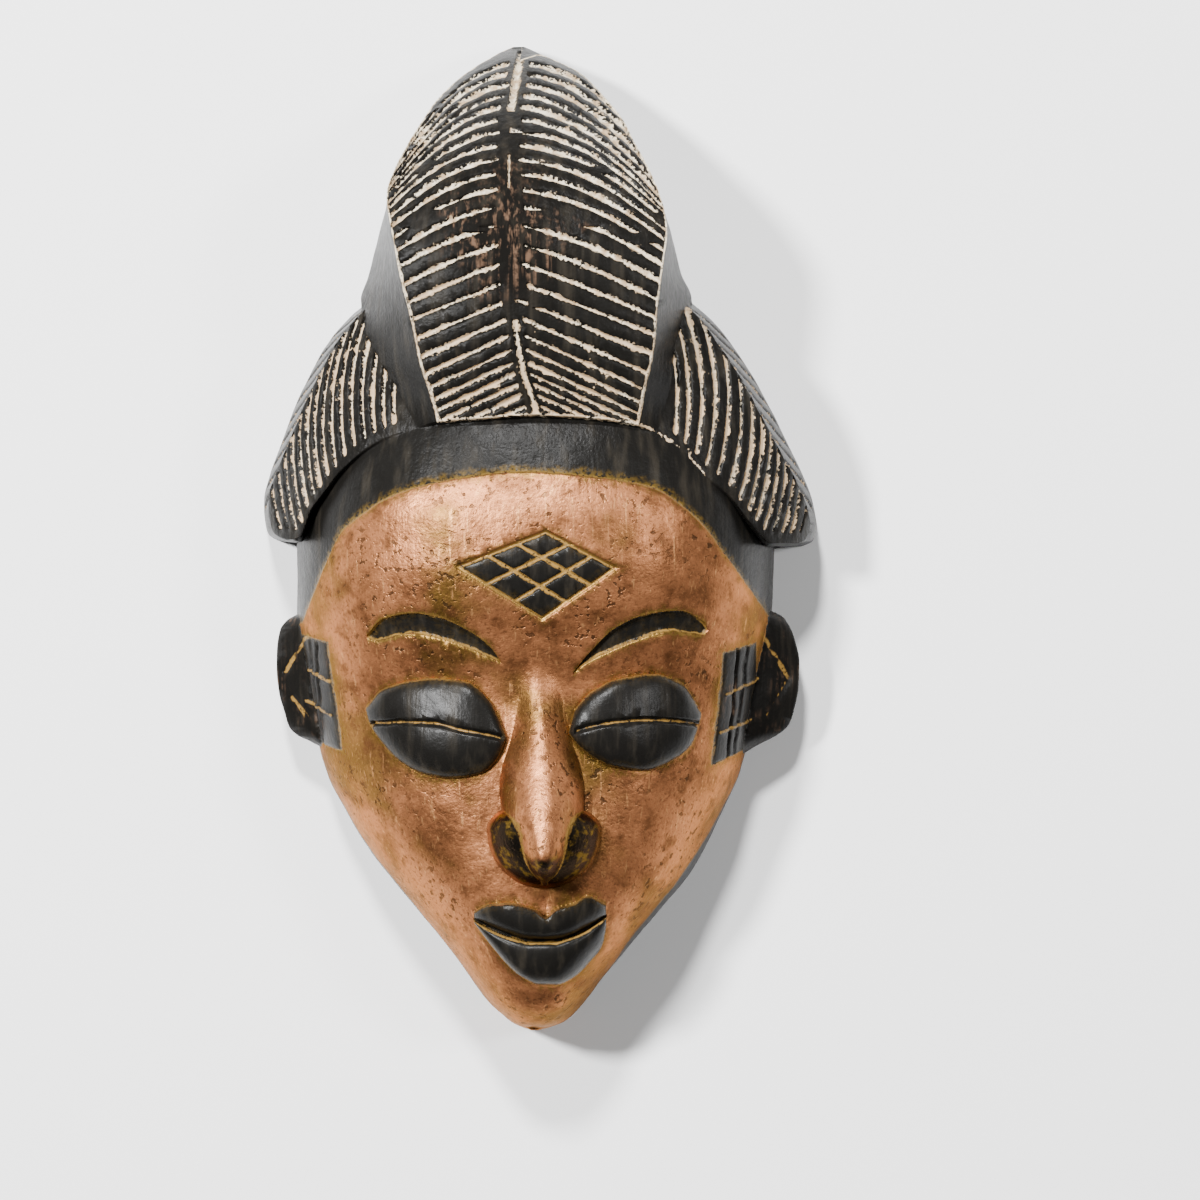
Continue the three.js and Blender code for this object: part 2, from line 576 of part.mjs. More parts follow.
function closeShortEdges(points, faces, limit) {
  const around = surroundings(faces);
  const touched = new Set();
  const gone = new Set();
  const edges = [];
  faces.forEach((face) => [[0, 1], [1, 2], [2, 0]].forEach(([i, j]) => {
    const length = points[face[i]].distanceTo(points[face[j]]);
    if (face[i] < face[j] && length < limit) edges.push([length, face[i], face[j]]);
  }));
  edges.sort((p, q) => p[0] - q[0]);
  for (const [, a, b] of edges) {
    const ring = (v) => new Set(around.get(v).flatMap((f) => faces[f]));
    const near = [...ring(a), ...ring(b)];
    if (near.some((v) => touched.has(v))) continue;
    const ringB = ring(b);
    const shared = [...ring(a)].filter((v) => v !== a && v !== b && ringB.has(v));
    if (shared.length !== 2) continue;
    const middle = points[a].clone().lerp(points[b], 0.5);
    const lost = (f) => faces[f].includes(a) && faces[f].includes(b);
    const keep = [...around.get(a), ...around.get(b)].filter((f) => !lost(f));
    const [oldA, oldB] = [points[a], points[b]];
    const before = keep.map((f) => normalOf(points, faces[f]));
    points[a] = middle;
    points[b] = middle;
    const sound = keep.every((f, i) => {
      const after = normalOf(points, faces[f]);
      const old = before[i];
      return old.length() < 0.02 || after.dot(old) > 0.6 * after.length() * old.length();
    });
    if (!sound) {
      points[a] = oldA;
      points[b] = oldB;
      continue;
    }
    around.get(b).forEach((f) => {
      if (faces[f].includes(a)) gone.add(f);
      else faces[f] = faces[f].map((v) => (v === b ? a : v));
    });
    near.forEach((v) => touched.add(v));
  }
  return faces.filter((_, f) => !gone.has(f));
}

function turnNeedles(points, faces, thin) {
  const across = new Map();
  faces.forEach((face, f) => [[0, 1], [1, 2], [2, 0]].forEach(([i, j]) => {
    const key = edgeKey(face[i], face[j]);
    if (!across.has(key)) across.set(key, []);
    across.get(key).push(f);
  }));
  const height = (face) => {
    const longest = Math.max(...face.map((v, i) => points[v].distanceTo(points[face[(i + 1) % 3]])));
    return normalOf(points, face).length() / longest;
  };
  const touched = new Set();
  faces.forEach((face, f) => {
    if (touched.has(f) || height(face) > thin) return;
    const lengths = face.map((v, i) => points[v].distanceTo(points[face[(i + 1) % 3]]));
    const i = lengths.indexOf(Math.max(...lengths));
    const [p, q, r] = [face[i], face[(i + 1) % 3], face[(i + 2) % 3]];
    const other = across.get(edgeKey(p, q)).find((g) => g !== f);
    if (other === undefined || touched.has(other)) return;
    const s = faces[other].find((v) => v !== p && v !== q);
    if (across.has(edgeKey(r, s))) return;
    const first = [r, p, s];
    const second = [s, q, r];
    const guide = normalOf(points, faces[other]);
    const good = [first, second].every((face2) => {
      const normal = normalOf(points, face2);
      return height(face2) > height(face) && normal.dot(guide) > 0.8 * normal.length() * guide.length();
    });
    if (!good) return;
    faces[f] = first;
    faces[other] = second;
    touched.add(f);
    touched.add(other);
    across.set(edgeKey(r, s), [f, other]);
    for (const [a, b] of [[p, r], [p, s], [q, r], [q, s]]) {
      across.get(edgeKey(a, b)).forEach((g) => touched.add(g));
    }
  });
  return faces;
}

function settled(manifold) {
  const { vertProperties, triVerts } = manifold.getMesh();
  const points = [];
  for (let i = 0; i < vertProperties.length; i += 3) {
    points.push(new THREE.Vector3(vertProperties[i], vertProperties[i + 1], vertProperties[i + 2]));
  }
  let faces = [];
  for (let i = 0; i < triVerts.length; i += 3) {
    faces.push([triVerts[i], triVerts[i + 1], triVerts[i + 2]]);
  }
  for (let pass = 0; pass < 12; pass++) {
    faces = closeShortEdges(points, faces, SHORTEST_EDGE);
    faces = turnNeedles(points, faces, THINNEST_FACET);
  }
  return { points, faces };
}

// The finished body as one geometry
function geometryOf(manifold) {
  const { points, faces } = settled(manifold);
  const position = points.flatMap((p) => [p.x, p.y - MIDDLE_Y, Math.abs(p.z) < 1e-3 ? 0 : p.z]);
  const geometry = new THREE.BufferGeometry();
  geometry.setAttribute("position", new THREE.Float32BufferAttribute(position, 3));
  geometry.setIndex(faces.flat());
  geometry.computeVertexNormals();
  return geometry;
}

const mesh = new THREE.Mesh(
  geometryOf(mask),
  new THREE.MeshStandardMaterial({ color: 0x6b4a34, roughness: 0.5 }),
);
mesh.name = "mask";
const root = new THREE.Group();
root.name = "root";
root.add(mesh);

export default root;
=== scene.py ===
import math
from types import SimpleNamespace

import bpy
import numpy as np
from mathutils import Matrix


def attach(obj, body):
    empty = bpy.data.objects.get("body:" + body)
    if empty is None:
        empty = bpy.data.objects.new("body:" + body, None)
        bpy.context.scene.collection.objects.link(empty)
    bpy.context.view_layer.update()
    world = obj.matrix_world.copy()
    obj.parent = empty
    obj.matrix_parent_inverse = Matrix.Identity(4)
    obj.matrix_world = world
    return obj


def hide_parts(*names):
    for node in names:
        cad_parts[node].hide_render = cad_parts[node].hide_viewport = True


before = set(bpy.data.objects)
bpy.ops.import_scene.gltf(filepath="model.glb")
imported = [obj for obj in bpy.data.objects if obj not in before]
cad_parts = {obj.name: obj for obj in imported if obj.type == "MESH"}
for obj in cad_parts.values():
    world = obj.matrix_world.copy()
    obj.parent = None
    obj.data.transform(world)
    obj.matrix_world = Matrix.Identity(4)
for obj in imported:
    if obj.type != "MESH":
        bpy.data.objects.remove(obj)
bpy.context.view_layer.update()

# Sizes of the carving, in millimetres, in the same drawing as the solid part
MM = 0.001
CHIN, TOP = -173.9, 174.9
MIDDLE_Y = 0.5                   # the drawing's middle, taken off at the end
SECTION_POWER = 2.5              # how boxy the head is across
FACE_STEP = 1.0                  # the face stands this far above the headband
SOCKET_SIZE, SOCKET_DEPTH = (24, 15), 3
LID_RISE, POUT_RISE, ROLL_RISE = 8, 7, 8
BROW_DEPTH = 1.6
SLIT_DEPTH, SLIT_HALF = 1.7, 1.5
LATTICE_DEPTH, LATTICE_HALF = 0.9, 0.9
HEAD_TOP = 70                    # above this the hair covers the head's outline
CREST_LOW = 60                   # the crest's foot widens the outline from here up
WING_SPAN, WING_RISE, WING_LENGTH = 104, 84, 105
WING_LOW = {-1: -1.6, 1: -3.4}
WING_TOP = 89
WALL_UPRIGHT, WALL_SLOPE = 20, 6
FOOT_SKIRT = 0.4
GROOVE_DEPTH, GROOVE_HALF = 1.3, 1.1
GROOVES_UP = 24
RIGHT_BEND = 0.7                 # the grooves right of the parting bend less
LOBE_BOW = 0.0058                # how much the lobes' grooves bow out below the waist
WAIST_INNER, WAIST_OUTER = (66, 48.7), (88, 30)
SIDE_CUTS, SIDE_CUT_LOW, SIDE_CUT_SPACING, SIDE_CUT_HALF = 9, 19.5, 7.5, 1.2
SIDE_CUT_LEAN, SIDE_CUT_FROM = 0.36, 46
PLATE_RISE, RIB_ROUND = 0.6, 1.7
COMB_DEPTH, COMB_HALF = 0.5, 0.5             # cuts down the temples
ROD_RISE, ROD_HALF = 0.5, 0.8                # raised strokes across them
EAR_CUT_DEPTH, EAR_CUT_HALF = 0.7, 1.3
HOLLOW_Y, HOLLOW_LENGTH, HOLLOW_HALF, HOLLOW_DEPTH = -27, 118, 66, 58
TOOL_MARKS = [(0.16, 31, 7), (0.07, 11, 8)]  # height, size and seed of the wood's unevenness
CHOP = 0.5                       # height of the tool marks in the hollow
FAR = 9.0                        # a distance that counts as far away
MARK_LIMIT = 6                   # distances that the paint reads are cut off here

# Grid of the finished surface
ROWS, CORE_COLUMNS, SIDE_COLUMNS = 900, 590, 44
COLUMNS = CORE_COLUMNS + 2 * SIDE_COLUMNS
RIM_COLUMNS, HOLLOW_COLUMNS = 10, 90
END_CROWDING = 0.2               # share of the rows' spacing that closes up at both ends
FACETS = 185000


def curve(points):
    """A smooth line through a few (input, output) points, flat past both ends.
    Between two points it is a cubic whose end slopes are harmonic means of the straight slopes."""
    xs, ys = np.array(points, float).T
    d = np.diff(ys) / np.diff(xs)
    product = d[:-1] * d[1:]
    total = np.where(d[:-1] + d[1:] == 0, 1, d[:-1] + d[1:])
    m = np.concatenate([[d[0]], np.where(product > 0, 2 * product / total, 0), [d[-1]]])

    def at(v):
        v = np.clip(v, xs[0], xs[-1])
        i = np.clip(np.searchsorted(xs, v, side="right") - 1, 0, len(xs) - 2)
        h = xs[i + 1] - xs[i]
        t = (v - xs[i]) / h
        rise = (ys[i + 1] - ys[i]) * t * t * (3 - 2 * t)
        return ys[i] + rise + h * t * (1 - t) * ((1 - t) * m[i] - t * m[i + 1])

    return at


def ease(v, lo, hi):
    """0 below lo, 1 above hi, and the cubic 3tt - 2ttt of the share t between."""
    t = np.clip((v - lo) / (hi - lo), 0, 1)
    return t * t * (3 - 2 * t)


def mix(a, b, t):
    """The value a share t of the way from a to b."""
    return a + (b - a) * t


def ripple(x, y, size, seed):
    """A soft uneven field between about -1 and 1: five crossed waves of about the given size."""
    total = 0
    for k in range(5):
        angle = seed * 1.7 + k * 2.4
        wave = 2 * math.pi / (size * (0.7 + 0.17 * k))
        total = total + np.sin((x * math.cos(angle) + y * math.sin(angle)) * wave + seed * 3.1 + k * 1.3)
    return total / 3


# Outlines of the head and heights along its middle
head_left = curve([(-173.9, -4.5), (-173, -8.5), (-170, -13), (-164.3, -19.1), (-155.4, -25.4),
                   (-146.5, -31.9), (-128.7, -46.8), (-110.9, -61.1), (-93, -71.8), (-84.2, -76),
                   (-50, -84), (-26.5, -87), (0, -87), (40, -80), (60, -68), (80, -40)])
head_right = curve([(-173.9, 1.5), (-173, 5.5), (-170.4, 10.5), (-164.7, 16.1), (-155.8, 22.9),
                    (-147, 30.1), (-129, 45.5), (-120.1, 53), (-111.2, 58.3), (-93.3, 66.7),
                    (-84.3, 70.8), (-50, 78.5), (-25, 82.5), (0, 83.5), (40, 79), (60, 66), (80, 40)])
head_middle = curve([(-172.9, -2.5), (-150, -1), (-120, 1.5), (-60, 0.5), (0, 0)])
head_ridge = curve([(-172.9, 30), (-171, 42), (-168, 49), (-165, 54), (-158, 60), (-145, 65), (-130, 69),
                    (-100, 73), (-70, 75), (-50, 77), (-35, 81), (-20, 86), (-8, 88), (5, 88), (20, 85.5),
                    (42, 79), (60, 58), (85, 0)])
brow_line = curve([(-84, -30), (-73.7, -6.8), (-68.2, 2.7), (-62.6, 7.1), (-55.5, 11.9), (-44.8, 16.3),
                   (-30.8, 19.7), (-6.5, 22.4), (21.2, 20.3), (38.5, 17.3), (45.5, 13.9), (52.5, 8.4),
                   (57.8, 3.2), (65, -6.1), (81, -28)])
hair_line = curve([(-86, -2), (-84, -0.8), (-80.4, 7.9), (-75.1, 14.9), (-69.6, 21.8), (-59, 30.4),
                   (-50.1, 34.8), (-44.1, 36.5), (-34, 39), (-17, 40), (-3, 41), (21, 39.7), (34, 37.7),
                   (43.7, 33.7), (52.5, 26.2), (59.5, 18.9), (66.6, 13), (71.9, 6.1), (76.2, 0.9),
                   (80, -3.2)])
wing_outline = {
    -1: curve([(-1.6, 85.7), (-0.6, 94), (2, 97.6), (4.8, 98.4), (10, 99), (13.6, 99), (22.5, 97),
               (31.3, 93.8), (49.1, 87.1), (58, 82.8), (66.8, 78.2), (75.7, 71.5), (82.8, 63.3),
               (89, 50)]),
    1: curve([(-3.4, 80), (-2.8, 93), (-0.5, 97.4), (4.8, 98.6), (13.6, 97.2), (22.5, 93.9), (31.3, 89.7),
              (49.1, 80.8), (58, 75.8), (66.8, 70.2), (75.7, 63.5), (82.8, 55.6), (91, 44)]),
}

# The crest: parting, front edges, foot of the side faces and heights along Y
parting = curve([(36, 0), (43, -1), (58, -5.7), (74, -7.8), (120, -10.3), (134, -10.4), (149, -9.9),
                 (155, -9), (165, -7.8), (174, -6.5)])
crest_ridge = curve([(30, 81), (42, 84), (50, 87), (60, 90), (75, 92), (95, 92), (110, 89), (125, 82),
                     (140, 70), (152, 57), (162, 43), (169, 30), (174.5, 14)])
crest_camber = curve([(36, 4), (60, 6), (110, 9), (130, 14), (150, 22), (165, 20), (174.5, 6)])
border = {
    -1: curve([(36, 33.6), (51, 37.7), (61, 41.1), (71.5, 43.1), (82, 45.6), (95, 48.7), (108, 51.4),
               (116, 52.7), (119.2, 52.9), (128.1, 50.4), (137.5, 46.2), (147, 41.1), (155.9, 35.2),
               (164.8, 26.4), (172.4, 15.1), (174.9, 10.1)]),
    1: curve([(36, 34), (46, 35.4), (52.5, 36.7), (59, 38.5), (66, 39.8), (80, 41), (95, 43.2),
              (106, 44.4), (114, 43.4), (119.2, 41.9), (128.1, 38.3), (137.5, 33.8), (147, 29.2),
              (155.9, 22.6), (164.8, 14.2), (172.4, -0.9), (174.9, -5.9)]),
}
foot = {
    -1: curve([(36, 44), (53, 51), (62, 56.5), (74.5, 61.5), (84, 63), (92.8, 60.3), (101.6, 58.2),
               (110.4, 56.1), (119.2, 53.5), (128.1, 50.8), (137.5, 46.6), (147, 41.5),
               (155.9, 35.6), (164.8, 26.8), (172.4, 15.5), (174.9, 10.5)]),
    1: curve([(36, 44), (53, 47.5), (69, 49.5), (78, 52), (84, 53.4), (92.8, 50.1), (101.6, 47.6),
              (110.4, 45.5), (119.2, 42.3), (128.1, 38.7), (137.5, 34.2), (147, 29.6),
              (155.9, 23), (164.8, 14.6), (172.4, -0.5), (174.9, -5.5)]),
}
foot_height = curve([(36, 73), (53, 66), (62, 60), (74.5, 52), (85, 40), (98, 35), (119, 30), (150, 24),
                     (165, 15), (174.5, 6)])
parting_gap = curve([(72, 0.8), (84, 2.6), (100, 3.2), (125, 2.6), (140, 2.2), (150, 1.8), (174, 1.4)])
slant = curve([(36, 0.45), (65, 0.45), (87, 0.38), (119, 0.1), (137, 0)])
bend = curve([(87, 0), (119, 0.008), (137, 0.013), (153, 0.018), (176, 0.022)])
groove_at = curve([(-3, 32), (0, 45.9), (5, 65.3), (15, 126.3), (24, 167.9), (26, 176)])
wing_lines = {-1: curve([(-1.4, 46), (0, 50.8), (6, 73), (14, 95.6), (15, 99)]),
              1: curve([(-1.4, 43.5), (0, 48.3), (6, 74.8), (13, 96.3), (14, 100)])}
WING_GROOVES = {-1: 14, 1: 13}
# Stretches of the crest's parting that are cut: from, to and half width
PARTING_CUTS = [(42, 75, 1.5), (121, 133, 0.6), (149, 173, 1.6)]
# Where the crest is rubbed: middle, size and strength
RUBBED = ((-12, 105), (30, 34), 1)


def head_height(x, y):
    """The height of the head: a ridge height along Y times a boxy oval across, with its own half
    width on each side."""
    c = head_middle(y)
    half = np.where(x < c, c - head_left(y), head_right(y) - c)
    q = np.clip(np.abs(x - c) / half, 0, 1)
    return head_ridge(y) * (1 - q ** SECTION_POWER) ** (1 / SECTION_POWER)


def crest_height(x, y):
    """The height of the crest's front: a ridge height along Y less a parabola across."""
    half = np.where(x < parting(y), border[-1](y) + parting(y), border[1](y) - parting(y)) + 4
    q = (x - parting(y)) / half
    return crest_ridge(y) - crest_camber(y) * np.minimum(q * q, 1.6)


def flank_height(x, y):
    """The height of the crest's side faces, by the distance in from the outline: steep up to the
    foot line, then up to the front's edge, then on at that slope."""
    out = np.full(x.shape, -1.0)
    for side in (-1, 1):
        inward = foot[side](y) + FOOT_SKIRT - side * x
        edge_x = side * border[side](y)
        top = crest_height(edge_x, y)
        low = np.minimum(foot_height(y), top - 1)
        width = np.maximum(foot[side](y) - border[side](y), 0.1)
        above = low + (inward - FOOT_SKIRT) / width * (top - low)
        height = np.where(inward < FOOT_SKIRT, inward / FOOT_SKIRT * low, above)
        here = (side * (x - parting(y)) > 0) & (inward > 0)
        out = np.where(here, height, out)
    return out


def wing_height(x, y):
    """The height of the hair lobes' fronts: an oval across that lowers as a power curve along Y."""
    along = np.sqrt(1 - np.clip(y / WING_LENGTH, 0, 0.98) ** 2.6)
    return WING_RISE * along * np.sqrt(np.clip(1 - (x / WING_SPAN) ** 2, 0, 1))


def groove(distance, half):
    """1 in the middle of a groove and 0 at its edges: a power of a parabola, round at the bottom."""
    return np.clip(1 - (distance / half) ** 2, 0, 1) ** 0.8


# Outlines on the face: a field has its first and last X, an upper and a lower line, and a lid its slit
lid_left = (-60.8, -11.2,
            curve([(-60.8, -59.6), (-54.8, -53.3), (-46.7, -50.4), (-37.2, -49), (-25, -50.3),
                   (-17, -56.9), (-11.2, -69.3)]),
            curve([(-60.8, -60), (-59.5, -64.5), (-55.9, -70.4), (-49.2, -77.6), (-40.4, -82.4),
                   (-30.6, -84.1), (-20.5, -82.3), (-14.3, -76.8), (-11.2, -69.6)]),
            curve([(-57.5, -65.1), (-47.3, -64.3), (-37.1, -64.5), (-27, -66.9), (-17, -68.7),
                   (-12, -69.8)]))
lid_right = (10.3, 56.6,
             curve([(10.3, -68), (12.8, -59.7), (19.1, -53.1), (28.8, -48.9), (40.3, -47.6), (50, -51.1),
                    (56.6, -61.5)]),
             curve([(10.3, -68.3), (13.5, -72.3), (19.1, -76.8), (26.7, -80.2), (36.8, -81.3),
                    (46.9, -77.6), (53.6, -71.8), (56.6, -61.8)]),
             curve([(11, -68), (17, -66), (26.7, -64.2), (37.5, -63.5), (46.9, -63.9), (54.5, -65)]))
LIP_FROM, LIP_TO = -22.9, 23.5
lip_line = curve([(-22.9, -133), (-17.1, -135.9), (-10.1, -138.6), (-2.8, -140.3), (4.8, -140.3),
                  (11.8, -138.6), (17.3, -135.9), (23.5, -131.9)])
lip_top = curve([(-22.9, -130.5), (-17.1, -127.6), (-9.7, -127.1), (-2.1, -129.1), (2.4, -131.9),
                 (5.9, -129.1), (11.8, -127.4), (17.3, -124.6), (23.5, -128)])
lip_bottom = curve([(-22.9, -134.5), (-16.1, -143.4), (-11.6, -148.6), (-5.6, -153.8), (0.3, -156.2),
                    (5.9, -156.2), (11.8, -153.8), (17.3, -148.6), (21.9, -142.4), (23.5, -135)])
brow_left = (-60.3, -13.2,
             curve([(-60.3, -34.6), (-54, -28.5), (-43.7, -26.7), (-33.6, -28.5), (-23.9, -33),
                    (-17, -38.2), (-13.2, -43.2)]),
             curve([(-60.3, -35), (-57.1, -36.1), (-45.2, -33.7), (-33.6, -35.7), (-23.9, -38.9),
                    (-13.2, -43.6)]))
brow_right = (11.8, 58.8,
              curve([(11.8, -47.3), (17, -40.9), (26.7, -31.6), (37.5, -27.1), (48.3, -25.7), (57, -29.2),
                     (58.8, -32.1)]),
              curve([(11.8, -47.7), (15.6, -44.4), (23.6, -40.3), (33.7, -36.1), (45.5, -33), (57, -34.1),
                     (58.8, -32.5)]))
DIAMOND = [(-27.9, -10.5), (2.5, 1.6), (26.4, -10.8), (1.1, -28.5)]
BURNS = {1: [(64.4, -40.5), (76.2, -37), (76.5, -48.7), (71.6, -75.1), (60.2, -79.8)],
         -1: [(-84.4, -34.2), (-73.8, -37), (-71, -61.6), (-69.2, -75), (-78.8, -72)]}
BURN_LINES = [((69.4, -39.1), (65.5, -78.2)), ((73, -38.4), (68, -77.5)),
              ((-81.1, -36), (-78.3, -72)), ((-78.2, -37), (-76.8, -73.7))]
BURN_STROKES = [((64.8, -54.9), (76.9, -49.7)), ((63, -68.3), (74.4, -64.2)),
                ((-81.1, -46.6), (-73.1, -50.4)), ((-82.6, -57.5), (-72.8, -62.3))]
EAR_LINES = [((77.5, -32.4), (88, -49.4)), ((87.2, -50.9), (77.5, -67)),
             ((-81, -33), (-90.5, -47.3)), ((-88, -56.5), (-82, -64))]

bridge_half = curve([(-119.5, 1.5), (-117, 5), (-112, 8.3), (-104, 11.5), (-97, 14.2), (-88, 14.8),
                     (-80, 13.6), (-70, 10.5), (-50, 7), (-36, 5)])
nose_rise = curve([(-121, 6), (-118.5, 15), (-115, 24), (-111, 26.5), (-100, 22.5), (-80, 12.5), (-60, 4.5),
                   (-48, 1.4), (-36, 0)])
nose_middle = curve([(-121, 2), (-105, 1.9), (-84, 1), (-36, 0.4)])
NOSTRIL_Y, NOSTRIL_HALF, NOSTRIL_UP, NOSTRIL_DOWN, NOSTRIL_RISE = -102, 20, 10, 20, 16
SOCKETS = [(-36, -58), (33.5, -57)]
CHIN_DENT = ((2, -159), (17, 3.2), 1.5)
LIP_DENT = ((2.4, -127), (1.7, 5), 1.1)
ear_edge = {-1: curve([(-75, 76), (-71.7, 82.3), (-69.9, 85.9), (-66.8, 89.1), (-61, 91), (-54.8, 92.7),
                       (-45.6, 93.7), (-38, 93.4), (-32.5, 92.3), (-28.9, 89.7), (-26, 84)]),
            1: curve([(-77, 71), (-73, 78), (-69, 85.6), (-66, 88.4), (-61.5, 90), (-53.7, 91.6),
                      (-44.1, 91.9), (-36, 90.4), (-28.6, 86.5), (-25, 80.4)])}
EAR_KNOTS = [(3, 0), (7, 0.7), (13, 1), (20, 1), (25, 0.5), (29, 0)]
EAR_SPAN = {-1: (-75, -26), 1: (-77, -25)}
# Painted shade on the copper, darker zones: middle, half width, half height and strength
PAINTED_SHADE_ZONES = [(0, -34, 13, 17, 0.8), (46, -8, 22, 15, 0.7), (-50, -32, 18, 9, 0.4), (0, -152, 24, 14, 0.5),
         (30, -104, 14, 20, 0.4)]
# How far up the black of the head's side reaches below the brow line. It is black paint, and on the right
# jaw it reaches higher as painted shade.
rim_height = {-1: curve([(-172, 12), (-145, 22), (-120, 24), (-78, 14), (-20, 12)]),
              1: curve([(-170, 15), (-155, 22), (-140, 36), (-120, 36), (-100, 24), (-78, 15), (-20, 12)])}


def band_distance(x, y, upper, lower):
    """Signed distance inside a field between two lines, in millimetres."""
    return np.minimum(upper(x) - y, y - lower(x))


def polygon_distance(x, y, corners):
    """Signed distance inside a convex outline, the least of the distances inside its sides. The
    corners may run either way round."""
    inside = np.full(np.broadcast(x, y).shape, 1e3)
    cx, cy = np.mean(corners, axis=0)
    for (x0, y0), (x1, y1) in zip(corners, corners[1:] + corners[:1]):
        nx, ny = y1 - y0, x0 - x1
        length = math.hypot(nx, ny)
        sign = 1 if (cx - x0) * nx + (cy - y0) * ny > 0 else -1
        inside = np.minimum(inside, sign * ((x - x0) * nx + (y - y0) * ny) / length)
    return inside


def line_distance(x, y, start, end):
    """Distance from a straight stroke."""
    (x0, y0), (x1, y1) = start, end
    dx, dy = x1 - x0, y1 - y0
    t = np.clip(((x - x0) * dx + (y - y0) * dy) / (dx * dx + dy * dy), 0, 1)
    return np.hypot(x - x0 - t * dx, y - y0 - t * dy)


def field_dome(x, y, from_x, to_x, upper, lower, height, power):
    """A dome over a field: height times a power of the product of two parabolas."""
    s = np.clip((x - from_x) / (to_x - from_x), 0, 1)
    t = np.clip((y - lower(x)) / np.maximum(upper(x) - lower(x), 0.2), 0, 1)
    return height * (16 * s * (1 - s) * t * (1 - t)) ** power


def dent(x, y, at, size, depth):
    """A soft round dent: its depth times a bell curve of the distance from its middle."""
    return depth * np.exp(-((x - at[0]) / size[0]) ** 2 - ((y - at[1]) / size[1]) ** 2)


def steadied(width, span=20):
    """A width that varies gently from row to row and stays inside the given one: the least width
    nearby, averaged over the same span of rows."""
    padded = np.pad(width, span, mode="edge")
    least = np.min([padded[k:k + len(width)] for k in range(2 * span + 1)], axis=0)
    padded = np.pad(least, span, mode="edge")
    return np.mean([padded[k:k + len(width)] for k in range(2 * span + 1)], axis=0) * 0.985 - 0.5


def front_grid():
    """Points of the front: rows along Y, closer at both ends. Each row has even columns over a core
    and columns that close up towards the outline at both sides."""
    s = np.linspace(0, 1, ROWS)
    crowded = (1 - np.cos(np.pi * s)) / 2
    y = CHIN + (TOP - CHIN) * ((1 - END_CROWDING) * s + END_CROWDING * crowded)
    widths = {}
    none = -50
    for side, head in ((-1, head_left), (1, head_right)):
        width = np.where(y < HEAD_TOP, side * head(y), none)
        on_wing = (y > WING_LOW[side]) & (y < WING_TOP)
        width = np.maximum(width, np.where(on_wing, wing_outline[side](y), none))
        skirt = foot[side](y) + FOOT_SKIRT
        widths[side] = np.where(y > CREST_LOW, np.maximum(width, skirt), width)
    core_left, core_right = steadied(widths[-1]), steadied(widths[1])
    middle = (widths[1] - widths[-1]) / 2
    core_left = np.maximum(core_left, -middle + 0.1)[:, None]
    core_right = np.maximum(core_right, middle + 0.1)[:, None]
    left, right = widths[-1][:, None], widths[1][:, None]
    t = np.linspace(0, 1, SIDE_COLUMNS, endpoint=False)[None] ** 1.7
    core = np.linspace(0, 1, CORE_COLUMNS)[None]
    x = np.concatenate([mix(-left, -core_left, t), mix(-core_left, core_right, core),
                        mix(right, core_right, t)[:, ::-1]], 1)
    return x, y[:, None] + 0 * x, left, right


def field_distance(x, y, from_x, to_x, upper, lower):
    """Signed distance inside a field that ends at two places along X."""
    inside = band_distance(x, y, upper, lower)
    return np.where((x > from_x) & (x < to_x), inside, -FAR)


def nose_heights(x, y):
    """Heights of the nose's bridge and of its nostrils. The bridge is an arch across, flat on top
    near the tip. The nostrils are an oval whose height is a power of the distance inwards."""
    middle = nose_middle(y)
    q = np.clip(np.abs(x - middle) / bridge_half(y), 0, 1)
    soft = ease(y, -88, -60)
    arch = (1 - q ** mix(2.4, 2, soft)) ** mix(0.9, 1.4, soft)
    bridge = nose_rise(y) * arch * (y > -121) * (y < -36)
    reach = np.where(y < NOSTRIL_Y, NOSTRIL_DOWN, NOSTRIL_UP)
    q = np.hypot((x - middle) / NOSTRIL_HALF, (y - NOSTRIL_Y) / reach)
    nostril = NOSTRIL_RISE * np.clip(1 - q ** 2.6, 0, 1) ** 0.7
    return bridge, nostril


def lower_lip_top(x):
    """The upper edge of the lower lip, a little under the mouth."""
    return lip_line(x) - 0.6


def lip_heights(x, y):
    """Heights of the upper and the lower lip. The upper one is a power of a parabola along the
    mouth times a round rise from the mouth upwards, highest near it. The lower one is a dome."""
    upper = band_distance(x, y, lip_top, lip_line)
    lower = band_distance(x, y, lower_lip_top, lip_bottom)
    s = np.clip((x - LIP_FROM) / (LIP_TO - LIP_FROM), 0, 1)
    t = np.clip((y - lip_line(x)) / np.maximum(lip_top(x) - lip_line(x), 0.2), 0, 1)
    roll = ROLL_RISE * (4 * s * (1 - s)) ** 0.4 * (1 - (1 - t) ** 3) ** 0.5 * (1.1 - 0.3 * t)
    roll = roll * (upper > 0) * ease(upper, 0, 0.8)
    pout = field_dome(x, y, LIP_FROM, LIP_TO, lower_lip_top, lip_bottom, POUT_RISE, 0.25)
    return roll, np.where(lower > 0, pout, 0)


def lid_heights(x, y):
    """Height of the domed lids, distance inside their edge and distance from the slit."""
    lids = 0
    lid_edge = np.full(x.shape, -FAR)
    slit = np.full(x.shape, FAR)
    for from_x, to_x, top_line, low_line, slit_line in (lid_left, lid_right):
        inside = field_distance(x, y, from_x, to_x, top_line, low_line)
        bulge = field_dome(x, y, from_x, to_x, top_line, low_line, LID_RISE, 0.4)
        lids = lids + np.where(inside > 0, bulge, 0)
        lid_edge = np.maximum(lid_edge, inside)
        across = np.abs(y - slit_line(x))
        slit = np.where((x > from_x + 2) & (x < to_x - 1), np.minimum(slit, across), slit)
    return lids, lid_edge, slit


